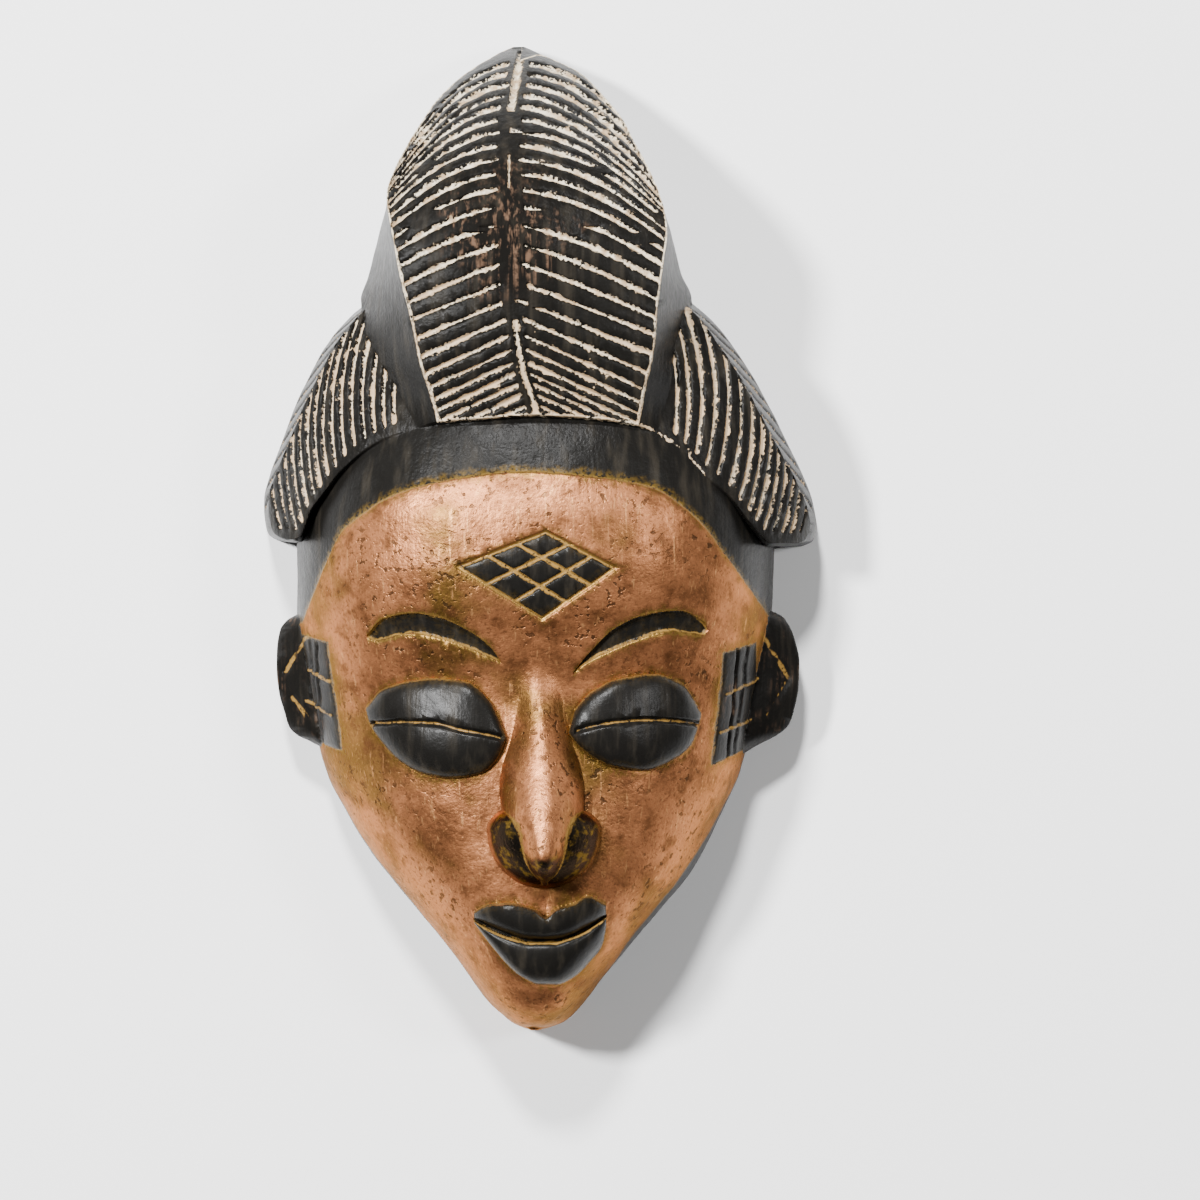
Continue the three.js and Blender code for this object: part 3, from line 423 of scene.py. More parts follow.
def hair_heights(x, y):
    """Heights of the crest and of the hair lobes, and how far inside their outlines each point is."""
    hair = SimpleNamespace()
    hair.edge = y - hair_line(x)
    hair.inward = np.where(x < parting(y), border[-1](y), border[1](y)) - np.abs(x)
    hair.crest_front = crest_height(x, y)
    hair.crest_flank = flank_height(x, y)
    hair.crest = np.minimum(hair.crest_front, hair.crest_flank)
    from_rim = np.where(x < 0, wing_outline[-1](y), wing_outline[1](y)) - np.abs(x)
    from_rim = np.maximum(from_rim, 0)
    leaning = WALL_UPRIGHT + WALL_SLOPE * (from_rim - 1)
    hair.wing_wall = np.where(from_rim < 1, WALL_UPRIGHT * from_rim, leaning)
    hair.wing_front = wing_height(x, y)
    on_wing = (hair.inward < 0) & (from_rim > 0) & (y < WING_TOP + 2)
    hair.wing = np.where(on_wing, np.minimum(hair.wing_front, hair.wing_wall), -1)
    hair.on_wing_front = (hair.wing > hair.crest) & (hair.wing_wall > hair.wing_front) & (hair.edge > 0)
    hair.on_wing_wall = (hair.wing > hair.crest) & (hair.wing_wall <= hair.wing_front) & (hair.edge > 0)
    hair.on_crest = (hair.crest >= hair.wing) & (hair.inward > 0.4) & (hair.edge > 1.5)
    hair.on_crest = hair.on_crest & (hair.crest_front <= hair.crest_flank + 0.5)
    return hair


def crest_grooves(x, y, hair):
    """1 in the middle of the crest's grooves, 0 at their edges, less outside. A groove runs down
    from the parting as a parabola, and each point's line is followed back to its start there."""
    on_left = x < parting(y)
    start = y.copy()
    bending = np.where(on_left, 1.0, RIGHT_BEND)
    for _ in range(14):
        away = np.abs(x - parting(start))
        found = y + slant(start) * away + bend(start) * bending * away ** 2
        start = np.clip(0.4 * start + 0.6 * found, 30, 177)
    away = np.abs(x - parting(start))
    numbers = np.linspace(-3, 26, 2901)
    number = np.interp(start, groove_at(numbers), numbers)
    nearest = np.clip(np.round(number), 0, GROOVES_UP)
    slope = slant(start) + 2 * bend(start) * bending * away
    gap = np.abs(groove_at(number) - groove_at(nearest)) / np.sqrt(1 + slope ** 2)
    shift = np.where(on_left, 50.0, 0)
    wobble = 0.9 + 0.3 * ripple(x + 40 * nearest + shift, y, 19, 1)
    wobble = wobble + 0.2 * ripple(x + shift, y + 17 * nearest, 5, 5)
    uneven = 1 + 1.1 * ripple(nearest * 9 + 50 * np.sign(x - parting(y)), y, 13, 6)
    ends = ease(away, parting_gap(y) * uneven, parting_gap(y) + 2.5)
    return np.where(hair.on_crest, mix(-1, 1 - gap / (GROOVE_HALF * wobble), ends), -1)


def parting_groove(x, y, hair):
    """1 in the middle of the crest's parting, along the stretches where it is cut."""
    cut = np.full(x.shape, -1.0)
    for from_y, to_y, half in PARTING_CUTS:
        here = hair.on_crest & (y > from_y) & (y < to_y)
        cut = np.where(here, 1 - np.abs(x - parting(y)) / half, cut)
    return cut


def lobe_grooves(x, y, hair):
    """1 in the middle of the grooves on the lobes' fronts. They are parabolas about a waist whose
    height falls outwards, so each point's line is followed to its place at the waist."""
    (inner_x, inner_y), (outer_x, outer_y) = WAIST_INNER, WAIST_OUTER
    place = np.abs(x)
    for _ in range(3):
        waist = mix(inner_y, outer_y, np.clip((place - inner_x) / (outer_x - inner_x), 0, 1))
        place = np.abs(x) + LOBE_BOW * np.minimum(30, y - waist) ** 2
    lobe_gap = np.full(x.shape, -1.0)
    steep = WING_RISE * (x / WING_SPAN ** 2) / np.sqrt(np.clip(1 - (x / WING_SPAN) ** 2, 0.05, 1))
    for which in (-1, 1):
        count = WING_GROOVES[which]
        numbers = np.linspace(-1.4, count + 1, 1500)
        number = np.interp(place, wing_lines[which](numbers), numbers)
        nearest = np.clip(np.round(number), 0, count)
        gap = np.abs(place - wing_lines[which](nearest)) * np.sqrt(1 + steep ** 2)
        wobble = 0.95 + 0.25 * ripple(x + 31 * nearest, y, 27, 2) + 0.15 * ripple(x, y + 13 * nearest, 5, 9)
        ends = ease(hair.edge, 3.0 + 1.5 * ripple(nearest * 7, 0 * y, 9, 3), 6.0)
        gap = 1 - gap / (GROOVE_HALF * 0.95 * wobble)
        here = (np.where(x < 0, -1, 1) == which) & hair.on_wing_front
        lobe_gap = np.where(here, np.maximum(lobe_gap, mix(-1, gap, ends)), lobe_gap)
    return lobe_gap


def wall_grooves(y, z, hair):
    """1 in the middle of the slanting grooves down the lobes' outer walls: even steps along Y that
    shift evenly with the height."""
    number = (y + SIDE_CUT_LEAN * (SIDE_CUT_FROM - z) - SIDE_CUT_LOW) / SIDE_CUT_SPACING
    off = np.abs(number - np.clip(np.round(number), 0, SIDE_CUTS - 1))
    gap = off * SIDE_CUT_SPACING * 0.94
    return np.where(hair.on_wing_wall & (z > 5) & (y > 4), 1 - gap / SIDE_CUT_HALF, -1)


def swell_ears(x, y, z):
    """The side walls pushed out to the ears' edge, by a share that goes through a few heights."""
    swollen = np.zeros(x.shape, bool)
    for which in (-1, 1):
        wall = -head_left(y) - 5 if which < 0 else head_right(y) - 5
        ear_x = np.zeros(x.shape)
        for (z0, e0), (z1, e1) in zip(EAR_KNOTS, EAR_KNOTS[1:]):
            part = (z >= z0) & (z <= z1)
            share = mix(e0, e1, (z - z0) / (z1 - z0))
            ear_x = np.where(part, mix(wall, ear_edge[which](y), share), ear_x)
        low, high = EAR_SPAN[which]
        reach = ear_x * ((y > low) & (y < high))
        swell = (x * which > 0) & (reach > np.abs(x))
        x = np.where(swell, which * reach, x)
        swollen = swollen | swell
    return x, swollen


def diamond_strokes():
    """The diamond's four sides and the lines that part it into nine cells."""
    west, north, east, south = [np.array(p) for p in DIAMOND]
    strokes = [(west, north), (north, east), (east, south), (south, west)]
    for t in (1 / 3, 2 / 3):
        strokes.append((mix(west, north, t), mix(south, east, t)))
        strokes.append((mix(west, south, t), mix(north, east, t)))
    return strokes


def nearest_stroke(x, y, strokes):
    """Distance from the nearest of several straight strokes."""
    return np.minimum.reduce([line_distance(x, y, a, b) for a, b in strokes])


def face_cuts(x, y):
    """Distances from the cut lines on face, temples and ears, and inside the diamond and brows."""
    cuts = SimpleNamespace()
    cuts.lozenge = polygon_distance(x, y, DIAMOND)
    cuts.lattice = nearest_stroke(x, y, diamond_strokes())
    swayed = x + 0.3 * ripple(x, y, 10, 5)
    cuts.combed = nearest_stroke(swayed, y, BURN_LINES)
    cuts.rods = nearest_stroke(x, y, BURN_STROKES)
    ear_lines = [line_distance(x, y, a, b) for a, b in EAR_LINES]
    cuts.ears = np.minimum.reduce(ear_lines)
    ear_lines[1] = ear_lines[1] + 0.45
    cuts.gilt = np.minimum.reduce([cuts.rods + 0.15] + ear_lines)
    cuts.brows = np.full(x.shape, -FAR)
    for brow in (brow_left, brow_right):
        cuts.brows = np.maximum(cuts.brows, field_distance(x, y, *brow))
    return cuts


def carved_relief(x, y, z, cuts, pale, plates, slit, lid_edge):
    """Heights of all the fine carving, along the surface's own normal: each cut is its depth times
    a rounded groove, the plates at the temples are quarter rounds, and soft waves lie over all."""
    relief = -GROOVE_DEPTH * np.clip(pale, 0, 1) ** 0.6
    relief = relief - BROW_DEPTH * ease(cuts.brows, -0.2, 0.5)
    relief = relief - LATTICE_DEPTH * groove(cuts.lattice, LATTICE_HALF)
    relief = relief - COMB_DEPTH * groove(cuts.combed, COMB_HALF)
    relief = relief + PLATE_RISE * np.sqrt(plates * (2 - plates))
    relief = relief + ROD_RISE * groove(cuts.rods, ROD_HALF)
    relief = relief - SLIT_DEPTH * groove(slit, SLIT_HALF) ** 2 * (lid_edge > 0)
    on_ear = ease(z, 6, 10) * (1 - ease(z, 20, 26))
    relief = relief - EAR_CUT_DEPTH * groove(cuts.ears, EAR_CUT_HALF) * on_ear
    for height, size, seed in TOOL_MARKS:
        relief = relief + height * ripple(x, y, size, seed)
    return relief


def along_normal(points, relief):
    """Points moved by the relief along the surface's own normal, which fades out at the rim."""
    normal = np.cross(np.gradient(points, axis=1), np.gradient(points, axis=0))
    normal = normal / np.maximum(np.linalg.norm(normal, axis=-1, keepdims=True), 1e-9)
    normal = np.where(normal[..., 2:] < -0.2, -normal, normal)
    settle = ease(points[..., 2], 0.2, 2.5)
    moved = points + normal * (relief * settle)[..., None]
    moved[:, 0, 2] = 0
    moved[:, -1, 2] = 0
    return moved


def front_surface():
    """The whole front as points over the grid, with the marks that the paint reads at each point."""
    x, y, left, right = front_grid()
    burns = np.maximum(polygon_distance(x, y, BURNS[1]), polygon_distance(x, y, BURNS[-1]))
    copper = np.minimum(brow_line(x) - y, 6.0)
    copper = np.minimum(copper, -burns)

    # The head, with the face a step above the headband
    z = head_height(x, y)
    z = z + FACE_STEP * ease(copper, -0.35, 0.35) * ease(z, 4, 10)
    for at in SOCKETS:
        z = z - dent(x, y, at, SOCKET_SIZE, SOCKET_DEPTH)
    z = z - dent(x, y, *CHIN_DENT)
    z = z - dent(x, y, *LIP_DENT)
    bridge, nostril = nose_heights(x, y)
    nose = np.maximum(bridge, nostril)
    roll, pout = lip_heights(x, y)
    lids, lid_edge, slit = lid_heights(x, y)
    z = np.maximum(z + np.maximum.reduce([nose, roll, pout, lids]), 0)

    # The hair over it, with its grooves, and the hem of paint along its edge
    hair = hair_heights(x, y)
    top = np.maximum(hair.crest, hair.wing)
    z = np.where(top > z, z + (top - z) * ease(hair.edge, 0, 1.2), z)
    crest_gap = np.maximum(crest_grooves(x, y, hair), parting_groove(x, y, hair))
    pale = np.maximum.reduce([crest_gap, lobe_grooves(x, y, hair), wall_grooves(y, z, hair)])
    hemmed = ((hair.inward > 0) & (y < 60)) | ((x > 30) & (x < 58))
    hem = np.where(hemmed, 1 - np.abs(hair.edge - 1.3) / 0.8, -1)

    # The ears, the cut lines and the relief
    x, swollen = swell_ears(x, y, z)
    copper = np.where(swollen, -4.0, copper)
    cuts = face_cuts(x, y)
    plates = np.clip(np.minimum(cuts.combed, burns) / RIB_ROUND, 0, 1)
    plates = np.where(swollen, 0, plates)
    relief = carved_relief(x, y, z, cuts, pale, plates, slit, lid_edge)
    points = along_normal(np.stack([x, y, z], -1), relief)

    # Fields of black paint: nostrils, lips, side of the head, temples. The side's black is raised on the
    # right jaw as painted shade.
    nose_dark = np.maximum(nostril - bridge, -110 - y)
    nose_dark = np.minimum(nose_dark, 1.2 * nose - 4)
    lips = field_distance(x, y, LIP_FROM, LIP_TO, lip_top, lip_bottom)
    rim = np.where(x < 0, rim_height[-1](y), rim_height[1](y))
    rim = np.where(y < brow_line(x), rim - z - 20 * ease(-y, 158, 168), -FAR)
    patch = np.where(swollen, 8, 2 * burns + 0.5 * ripple(x, y, 6, 4))
    dark = np.maximum.reduce([cuts.brows, lid_edge, cuts.lozenge, patch, lips, rim])

    # Strokes of gold: creases of the nose, mouth, brows, lid slits
    crease = np.where((nostril > 1) & (bridge > 1), np.abs(nostril - bridge) * 0.35, FAR)
    mouth = np.where(lips > -0.5, np.abs(y - lip_line(x) + 0.9) + 0.15, FAR)
    brow_gold = 0.8 * np.abs(cuts.brows + 0.25) + 0.1 + 0.2 * ripple(x, y, 14, 9)
    slit_gold = np.where(lid_edge > -1, slit + 0.32, FAR)
    gilt = [cuts.lattice - 0.1, cuts.gilt, crease, mouth, brow_gold, slit_gold]

    # The crest's border line stays on its front edge, off the steep side faces
    below = hair.crest_front - z
    bordered = np.where(below > 0.4, np.minimum(hair.inward, 0.4 - below), hair.inward)
    worn_off_crest = np.where(swollen, 0.5, 0.42 * (burns > 0))
    marks = {
        "copper": np.clip(np.minimum(copper, -patch), -MARK_LIMIT, MARK_LIMIT),
        "dark": np.clip(dark, -MARK_LIMIT, MARK_LIMIT),
        "nosedark": np.clip(nose_dark, -MARK_LIMIT, MARK_LIMIT),
        "pale": np.where(hair.edge > 0, np.maximum(pale, 0.8 * hem), -1),
        "border": np.where(hair.edge > 0, np.clip(bordered, -FAR, FAR), -FAR),
        "hair": np.clip(hair.edge, -MARK_LIMIT, MARK_LIMIT),
        "gilt": np.minimum.reduce(gilt),
        "hollow": 0 * x,
        "dusk": sum(dent(x, y, (cx, cy), (rx, ry), a) for cx, cy, rx, ry, a in PAINTED_SHADE_ZONES),
        "wear": np.where(hair.on_crest, dent(x, y, *RUBBED), worn_off_crest),
    }
    return points, marks, left, right


def back_rows(y, left, right):
    """Points of the back, row by row: flat rim, then an oval hollow, then flat rim. The hollow's half
    width follows an ellipse along Y, and its depth is a power of that share times a rounded arch."""
    a = np.clip((y - HOLLOW_Y) / HOLLOW_LENGTH, -1, 1)
    share = np.sqrt(1 - a * a)
    turn = np.linspace(np.pi, 0, HOLLOW_COLUMNS)[None]
    reach = np.sign(np.cos(turn)) * np.abs(np.cos(turn)) ** 0.8
    middle = mix(head_middle(y), (right - left) / 2, ease(np.abs(a), 0.85, 1))
    half = np.maximum(HOLLOW_HALF * share, 0.06 * (left + right))
    x = middle + reach * half
    z = HOLLOW_DEPTH * share ** 0.8 * np.abs(np.sin(turn)) ** 0.8
    t = np.linspace(0, 1, RIM_COLUMNS, endpoint=False)[None, 1:]
    rim_left = mix(-left, middle - half, t)
    rim_right = mix(middle + half, right, np.linspace(0, 1, RIM_COLUMNS)[None, 1:-1])
    x = np.concatenate([rim_left, x, rim_right], 1)
    z = np.concatenate([0 * rim_left, z, 0 * rim_right], 1)
    chop = CHOP * ripple(x, y * 0.45, 13, 4) * ease(z, 1, 9)
    return np.stack([x, y + 0 * x, np.maximum(z + chop, 0)], -1)


# What the paint reads on the back, where it isn't the lowest value of a distance
BACK_MARKS = {"hollow": 1, "gilt": FAR, "wear": 0, "dusk": 0}


def closed_surface():
    """The front and back joined along the outline, with both ends closed on the rim plane."""
    front, marks, left, right = front_surface()
    y = front[:, :1, 1]
    ends = front[[0, -1]].copy()
    ends[..., 2] = 0
    front = np.concatenate([ends[:1], front, ends[1:]])
    rows = len(front)
    back = back_rows(y, left, right)
    points = np.concatenate([front.reshape(-1, 3), back.reshape(-1, 3)])
    fields = {}
    for name, value in marks.items():
        value = np.concatenate([value[:1], value, value[-1:]]).ravel()
        rest = np.full(back.shape[0] * back.shape[1], BACK_MARKS.get(name, -MARK_LIMIT), float)
        fields[name] = np.concatenate([value, rest])

    i = np.arange(rows * COLUMNS).reshape(rows, COLUMNS)
    quads = np.stack([i[:-1, :-1], i[:-1, 1:], i[1:, 1:], i[1:, :-1]], -1).reshape(-1, 4)
    b = np.arange(back.shape[0] * back.shape[1]).reshape(back.shape[:2]) + rows * COLUMNS
    b = np.concatenate([i[1:-1, :1], b, i[1:-1, -1:]], 1)
    under = np.stack([b[:-1, :-1], b[1:, :-1], b[1:, 1:], b[:-1, 1:]], -1).reshape(-1, 4)
    caps = [np.concatenate([b[0], i[0][::-1]]), np.concatenate([b[-1][::-1], i[-1]])]
    return points, fields, np.concatenate([quads, under]), caps


def mesh_from(points, fields, quads, caps, name):
    """A mesh with its marks as point attributes, in metres, the drawing's middle at the origin."""
    mesh = bpy.data.meshes.new(name)
    place = (points - np.array([0, MIDDLE_Y, 0])) * MM
    loops = np.concatenate([quads.ravel()] + caps)
    sizes = [4] * len(quads) + [len(cap) for cap in caps]
    starts = np.concatenate([[0], np.cumsum(sizes)[:-1]])
    mesh.vertices.add(len(place))
    mesh.vertices.foreach_set("co", place.ravel().astype(np.float32))
    mesh.loops.add(len(loops))
    mesh.loops.foreach_set("vertex_index", loops.astype(np.int32))
    mesh.polygons.add(len(starts))
    mesh.polygons.foreach_set("loop_start", starts.astype(np.int32))
    mesh.update(calc_edges=True)
    for key, value in fields.items():
        mark = mesh.attributes.new(key, "FLOAT", "POINT")
        mark.data.foreach_set("value", value.astype(np.float32))
    return mesh


def thinned(mesh, name):
    """The same surface with fewer facets, kept where the carving needs them."""
    rough = bpy.data.objects.new("rough", mesh)
    bpy.context.scene.collection.objects.link(rough)
    reduce = rough.modifiers.new("reduce", "DECIMATE")
    reduce.ratio = FACETS / (2 * len(mesh.polygons))
    ready = rough.evaluated_get(bpy.context.evaluated_depsgraph_get())
    final = bpy.data.meshes.new_from_object(ready)
    final.name = name
    bpy.data.objects.remove(rough)
    bpy.data.meshes.remove(mesh)
    return final


class Graph:
    """Short ways to build a material's nodes."""

    def __init__(self, name):
        self.material = bpy.data.materials.new(name)
        self.material.use_nodes = True
        self.nodes = self.material.node_tree.nodes
        self.links = self.material.node_tree.links
        self.nodes.clear()
        self.place = self.add("ShaderNodeTexCoord").outputs["Object"]

    def add(self, kind, **settings):
        """A new node with its settings."""
        node = self.nodes.new(kind)
        for key, value in settings.items():
            setattr(node, key, value)
        return node

    def put(self, socket, value):
        """A link where the value comes from another node, and else the value itself."""
        if isinstance(value, bpy.types.NodeSocket):
            self.links.new(value, socket)
        elif isinstance(value, tuple):
            socket.default_value = value + (1,) if len(socket.default_value) == 4 else value
        else:
            socket.default_value = value

    def math(self, operation, *values):
        """One step of arithmetic on sockets or numbers."""
        node = self.add("ShaderNodeMath", operation=operation)
        for socket, value in zip(node.inputs, values):
            self.put(socket, value)
        return node.outputs[0]

    def mark(self, name):
        """A value that the mesh carries at each of its points."""
        return self.add("ShaderNodeAttribute", attribute_name=name).outputs["Fac"]

    def noise(self, size, detail, stretch=(1, 1, 1)):
        """Even noise from 0 to 1 with features of the given size in millimetres."""
        scale = self.add("ShaderNodeVectorMath", operation="MULTIPLY")
        self.put(scale.inputs[0], self.place)
        scale.inputs[1].default_value = [1000 / (size * s) for s in stretch]
        node = self.add("ShaderNodeTexNoise")
        self.put(node.inputs["Vector"], scale.outputs[0])
        node.inputs["Scale"].default_value = 1
        node.inputs["Detail"].default_value = detail
        node.inputs["Roughness"].default_value = 0.55
        return node.outputs["Fac"]

    def ramp(self, value, low, high):
        """0 at low, 1 at high, smooth between. Low may be the greater of the two."""
        node = self.add("ShaderNodeMapRange", interpolation_type="SMOOTHSTEP")
        self.put(node.inputs["Value"], value)
        self.put(node.inputs["From Min"], low)
        self.put(node.inputs["From Max"], high)
        return node.outputs["Result"]

    def mix(self, share, first, second):
        """Two colours mixed by a share of the second."""
        node = self.add("ShaderNodeMix", data_type="RGBA")
        self.put(node.inputs[0], share)
        self.put(node.inputs[6], first)
        self.put(node.inputs[7], second)
        return node.outputs[2]

    def blend(self, share, first, second):
        """Two numbers mixed by a share of the second."""
        node = self.add("ShaderNodeMix", data_type="FLOAT")
        self.put(node.inputs[0], share)
        self.put(node.inputs[2], first)
        self.put(node.inputs[3], second)
        return node.outputs[0]

    def finished(self, shader):
        """The material, once its shader reaches the output."""
        out = self.add("ShaderNodeOutputMaterial")
        self.put(out.inputs["Surface"], shader.outputs[0])
        return self.material


# Colours of paint and wood
BLACK = (0.0060, 0.0055, 0.0048)
WORN = (0.020, 0.017, 0.013)
BROWN = (0.115, 0.068, 0.043)
COPPER = (0.38, 0.150, 0.062)
COPPER_DARK = (0.10, 0.038, 0.015)
COPPER_LIGHT = (0.62, 0.30, 0.12)
COPPER_SHEEN = (0.8, 0.55, 0.35)
PITS = (0.035, 0.018, 0.009)
OLIVE = (0.10, 0.060, 0.010)
GOLD = (0.21, 0.120, 0.030)
CREAM = (0.70, 0.61, 0.46)
CREAM_DARK = (0.36, 0.255, 0.15)
CREAM_LOW = (0.46, 0.33, 0.20)
RAW = (0.085, 0.048, 0.028)
RAW_DARK = (0.035, 0.022, 0.015)


def grain_fields(g):
    """The noises that the paint layers share, by the size of their features."""
    n = SimpleNamespace()
    n.fine = g.noise(1.1, 4)
    n.small = g.noise(3.5, 4)
    n.medium = g.noise(8, 4)
    n.broad = g.noise(22, 4)
    n.patch = g.noise(45, 5)
    n.grain = g.noise(1.4, 3, stretch=(1, 16, 1))
    n.streak = g.noise(4, 3, stretch=(1, 9, 1))
    n.jitter = g.math("SUBTRACT", n.small, 0.5)
    n.dots = g.math("MULTIPLY", g.ramp(g.noise(2.6, 2), 0.57, 0.66), g.ramp(g.noise(28, 3), 0.40, 0.58))
    place = g.add("ShaderNodeSeparateXYZ")
    g.put(place.inputs[0], g.place)
    n.y, n.z = place.outputs[1], place.outputs[2]
    return n


def black_paint(g, n):
    """Black paint, rubbed through to brown wood on the hair."""
    black = g.mix(g.ramp(n.streak, 0.45, 0.8), BLACK, WORN)
    rub = g.math("MULTIPLY_ADD", g.mark("wear"), 0.35, g.math("MULTIPLY", n.broad, 0.72))
    rub = g.math("MULTIPLY", g.ramp(rub, 0.50, 0.70), g.ramp(n.grain, 0.46, 0.64))
    rub = g.math("MULTIPLY", rub, g.ramp(n.small, 0.42, 0.60))
    may_rub = g.math("MAXIMUM", g.ramp(g.mark("hair"), -1, 1), g.ramp(g.mark("wear"), 0.1, 0.4))
    return g.mix(g.math("MULTIPLY", g.math("MULTIPLY", rub, may_rub), 0.8), black, BROWN)


def copper_paint(g, n):
    """Copper with darker mottling, olive patches, painted shade in a few zones, light scratches along the
    grain and dark pits.
    """
    copper = g.mix(g.ramp(n.broad, 0.38, 0.76), COPPER, COPPER_DARK)
    copper = g.mix(g.math("MULTIPLY", g.ramp(n.patch, 0.5, 0.64), 0.7), copper, OLIVE)
    copper = g.mix(g.math("MULTIPLY", g.ramp(n.medium, 0.50, 0.72), 0.8), copper, COPPER_DARK)
    # Painted shade: the copper darkens between the brows, over the right forehead and left brow, at the
    # chin and beside the nose
    dusk = g.math("MULTIPLY", g.mark("dusk"), g.ramp(n.medium, 0.25, 0.62))
    copper = g.mix(dusk, copper, COPPER_DARK)
    copper = g.mix(g.math("MULTIPLY", g.ramp(n.grain, 0.60, 0.72), 0.45), copper, COPPER_LIGHT)
    copper = g.mix(g.math("MULTIPLY", g.ramp(n.fine, 0.56, 0.78), 0.3), copper, COPPER_LIGHT)
    copper = g.mix(g.math("MULTIPLY", g.ramp(n.fine, 0.48, 0.28), 0.7), copper, COPPER_DARK)
    return g.mix(g.math("MULTIPLY", n.dots, 0.8), copper, PITS)


def rubbed_gold(g, n, colour, is_dark):
    """Olive halos round the fields of black, gold on their edges and in the fine strokes."""
    off_hair = g.ramp(g.mark("hair"), 0.5, -0.5)
    edge = g.math("MINIMUM", g.math("ABSOLUTE", g.mark("copper")), g.math("ABSOLUTE", g.mark("dark")))
    halo = g.ramp(g.math("MULTIPLY_ADD", n.jitter, 6.0, edge), 3.6, 0.3)
    halo = g.math("MULTIPLY", halo, off_hair)
    halo = g.math("MULTIPLY", halo, g.ramp(n.fine, 0.34, 0.58))
    colour = g.mix(g.math("MULTIPLY", halo, g.blend(is_dark, 0.7, 0.12)), colour, OLIVE)
    rubbed = g.ramp(g.math("MULTIPLY_ADD", n.jitter, 1.3, edge), 0.85, 0.15)
    rubbed = g.math("MULTIPLY", rubbed, off_hair)
    rubbed = g.math("MULTIPLY", rubbed, g.ramp(n.fine, 0.36, 0.5))
    colour = g.mix(g.math("MULTIPLY", rubbed, 0.45), colour, GOLD)
    gilt = g.ramp(g.math("MULTIPLY_ADD", n.jitter, 1.4, g.mark("gilt")), 0.85, 0.35)
    return g.mix(g.math("MULTIPLY", gilt, g.ramp(n.fine, 0.33, 0.46)), colour, GOLD)


def cream_pigment(g, n):
    """Cream rubbed into the grooves and along the crest's borders, thinner and browner low down.
    Gives where it lies and its colour."""
    torn = g.math("MULTIPLY_ADD", g.math("SUBTRACT", n.fine, 0.5), 2.2, g.mark("pale"))
    torn = g.math("MULTIPLY_ADD", n.jitter, 1.6, torn)
    torn = g.math("MULTIPLY_ADD", g.math("SUBTRACT", n.medium, 0.55), 1.4, torn)
    torn = g.math("MULTIPLY_ADD", g.mark("wear"), -0.25, torn)
    # Below about 11 cm the cream grows thinner and browner towards the crest's lower end, by height alone
    low_on_crest = g.ramp(n.y, 0.11, 0.05)
    torn = g.math("MULTIPLY_ADD", low_on_crest, -0.10, torn)
    line = g.math("ABSOLUTE", g.mark("border"))
    line = g.ramp(g.math("MULTIPLY_ADD", n.jitter, 1.4, line), 0.75, 0.3)
    line = g.math("MULTIPLY", line, g.ramp(n.fine, 0.36, 0.48))
    cream_on = g.math("MAXIMUM", g.ramp(torn, 0.08, 0.40), line)
    chalk = g.mix(g.ramp(n.small, 0.40, 0.66), CREAM, CREAM_DARK)
    chalk = g.mix(g.math("MULTIPLY", low_on_crest, g.ramp(n.medium, 0.3, 0.6)), chalk, CREAM_LOW)
    return cream_on, chalk


def paint_bump(g, n, metal, on_face, is_dark):
    """Fine unevenness of the painted wood, with pits in the copper."""
    height = g.math("MULTIPLY", n.small, g.blend(is_dark, 0.28, 0.16))
    height = g.math("MULTIPLY_ADD", n.fine, g.blend(is_dark, 0.17, 0.07), height)
    height = g.math("MULTIPLY_ADD", g.math("MULTIPLY", n.dots, metal), -0.17, height)
    height = g.math("MULTIPLY_ADD", n.grain, g.blend(on_face, 0.12, 0.09), height)
    bump = g.add("ShaderNodeBump")
    bump.inputs["Strength"].default_value = 0.8
    bump.inputs["Distance"].default_value = MM
    g.put(bump.inputs["Height"], height)
    return bump.outputs[0]


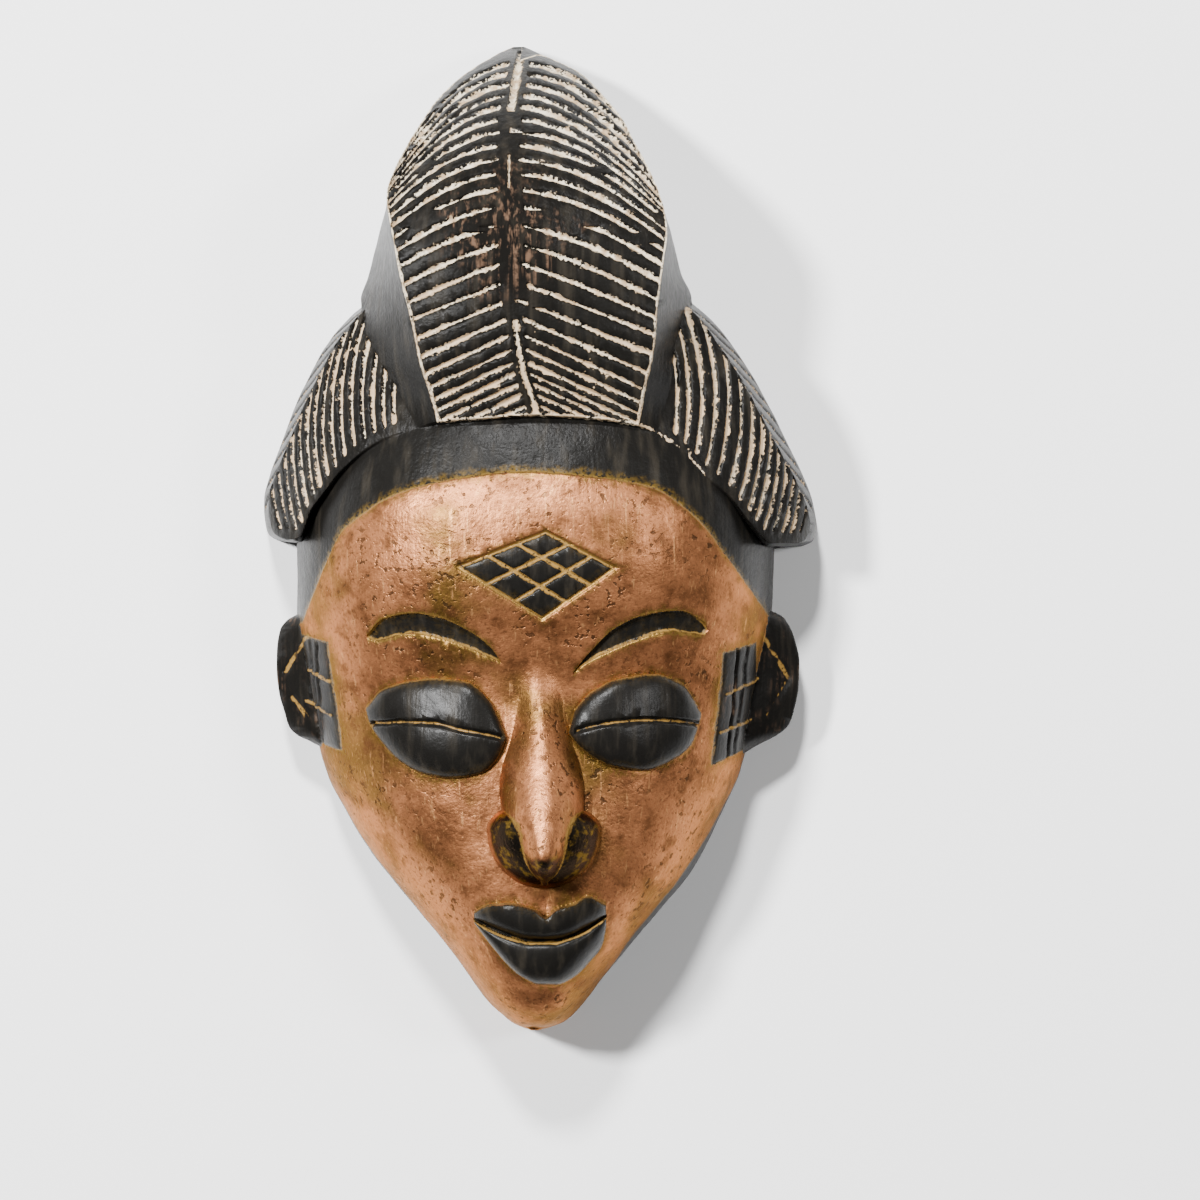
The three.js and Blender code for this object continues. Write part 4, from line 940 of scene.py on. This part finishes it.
def painted_wood():
    """Black over raw wood, copper on the face, cream in the grooves and gold on worn edges."""
    g = Graph("painted_wood")
    n = grain_fields(g)
    black = black_paint(g, n)
    on_face = g.ramp(g.math("MULTIPLY_ADD", n.jitter, 1.2, g.mark("copper")), -0.1, 0.25)
    is_dark = g.ramp(g.math("MULTIPLY_ADD", n.jitter, 1.0, g.mark("dark")), -0.1, 0.3)
    on_nose = g.ramp(g.math("MULTIPLY_ADD", n.jitter, 5.0, g.mark("nosedark")), -1.0, 2.5)
    on_nose = g.math("MULTIPLY", on_nose, g.ramp(g.mark("copper"), 0, 1))
    cream_on, chalk = cream_pigment(g, n)
    inside = g.math("MAXIMUM", g.ramp(g.mark("hollow"), 0.3, 0.7), g.ramp(n.z, 0.0004, 0.0001))

    colour = g.mix(on_face, black, copper_paint(g, n))
    colour = g.mix(is_dark, colour, black)
    colour = g.mix(on_nose, colour, g.mix(g.ramp(n.small, 0.49, 0.66), BLACK, OLIVE))
    colour = rubbed_gold(g, n, colour, is_dark)
    colour = g.mix(cream_on, colour, chalk)
    colour = g.mix(inside, colour, g.mix(g.ramp(n.streak, 0.35, 0.7), RAW, RAW_DARK))

    rough = g.blend(on_face, g.blend(n.small, 0.24, 0.44), g.blend(n.small, 0.28, 0.56))
    rough = g.blend(is_dark, rough, g.blend(n.small, 0.24, 0.40))
    rough = g.blend(cream_on, rough, 0.9)
    rough = g.blend(inside, rough, 0.85)
    metal = g.math("MULTIPLY", on_face, g.math("SUBTRACT", 1, is_dark))
    gloss = g.math("MULTIPLY", g.blend(is_dark, 0.07, 0.11), g.ramp(g.mark("wear"), 1.0, 0.0))

    paint = g.add("ShaderNodeBsdfPrincipled")
    g.put(paint.inputs["Base Color"], colour)
    g.put(paint.inputs["Roughness"], rough)
    g.put(paint.inputs["Metallic"], g.math("MULTIPLY", metal, 0.8))
    g.put(paint.inputs["Specular IOR Level"], g.blend(metal, gloss, 0.4))
    g.put(paint.inputs["Specular Tint"], g.mix(metal, (1.0, 1.0, 1.0), COPPER_SHEEN))
    g.put(paint.inputs["Normal"], paint_bump(g, n, metal, on_face, is_dark))
    return g.finished(paint)


def plain(name, colour, rough):
    """A material of one colour."""
    g = Graph(name)
    paint = g.add("ShaderNodeBsdfPrincipled")
    g.put(paint.inputs["Base Color"], colour)
    g.put(paint.inputs["Roughness"], rough)
    return g.finished(paint)


# The carved mask
mask_mesh = thinned(mesh_from(*closed_surface(), "dense"), "carved_mask")
mask_mesh.shade_smooth()
mask_mesh.set_sharp_from_angle(angle=math.radians(48))
mask_mesh.materials.append(painted_wood())
mask = bpy.data.objects.new("carved_mask", mask_mesh)
bpy.context.scene.collection.objects.link(mask)
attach(mask, "root")
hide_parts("mask")

# A pale table
table_mesh = bpy.data.meshes.new("table")
TABLE_HALF = 3
around = [(-1, -1), (1, -1), (1, 1), (-1, 1)]
corners = [(TABLE_HALF * x, TABLE_HALF * y, 0) for x, y in around]
table_mesh.from_pydata(corners, [], [(0, 1, 2, 3)])
table_mesh.materials.append(plain("table", (0.95, 0.95, 0.95), 0.9))
table = bpy.data.objects.new("table", table_mesh)
bpy.context.scene.collection.objects.link(table)


def lamp(name, place, size, power):
    """A round lamp that shines on the middle of the mask."""
    data = bpy.data.lights.new(name, "AREA")
    data.shape = "DISK"
    data.size = size
    data.energy = power
    light = bpy.data.objects.new(name, data)
    light.location = place
    aim = -light.location
    light.rotation_euler = aim.to_track_quat("-Z", "Y").to_euler()
    bpy.context.scene.collection.objects.link(light)


# Light from the left and from above, a little from the right, and a dim white room
lamp("left_light", (-1.05, 0.4, 1.7), 0.25, 92)
lamp("right_light", (1.2, 0.2, 1.5), 0.4, 16)
lamp("top_light", (-0.25, 1.5, 2.0), 0.3, 115)

world = bpy.data.worlds.new("room")
bpy.context.scene.world = world
world.use_nodes = True
world.node_tree.nodes["Background"].inputs[0].default_value = (1, 1, 1, 1)
world.node_tree.nodes["Background"].inputs[1].default_value = 0.1

# The camera looks straight down, at the point of the drawing that is the picture's middle
PICTURE_MIDDLE = (21.2, -21.9)
CAMERA_HEIGHT = 2.5
camera_data = bpy.data.cameras.new("camera")
camera_data.sensor_width = 36
camera_data.lens = 209.6
camera = bpy.data.objects.new("camera", camera_data)
camera.location = (PICTURE_MIDDLE[0] * MM, (PICTURE_MIDDLE[1] - MIDDLE_Y) * MM, CAMERA_HEIGHT)
bpy.context.scene.collection.objects.link(camera)
bpy.context.scene.camera = camera
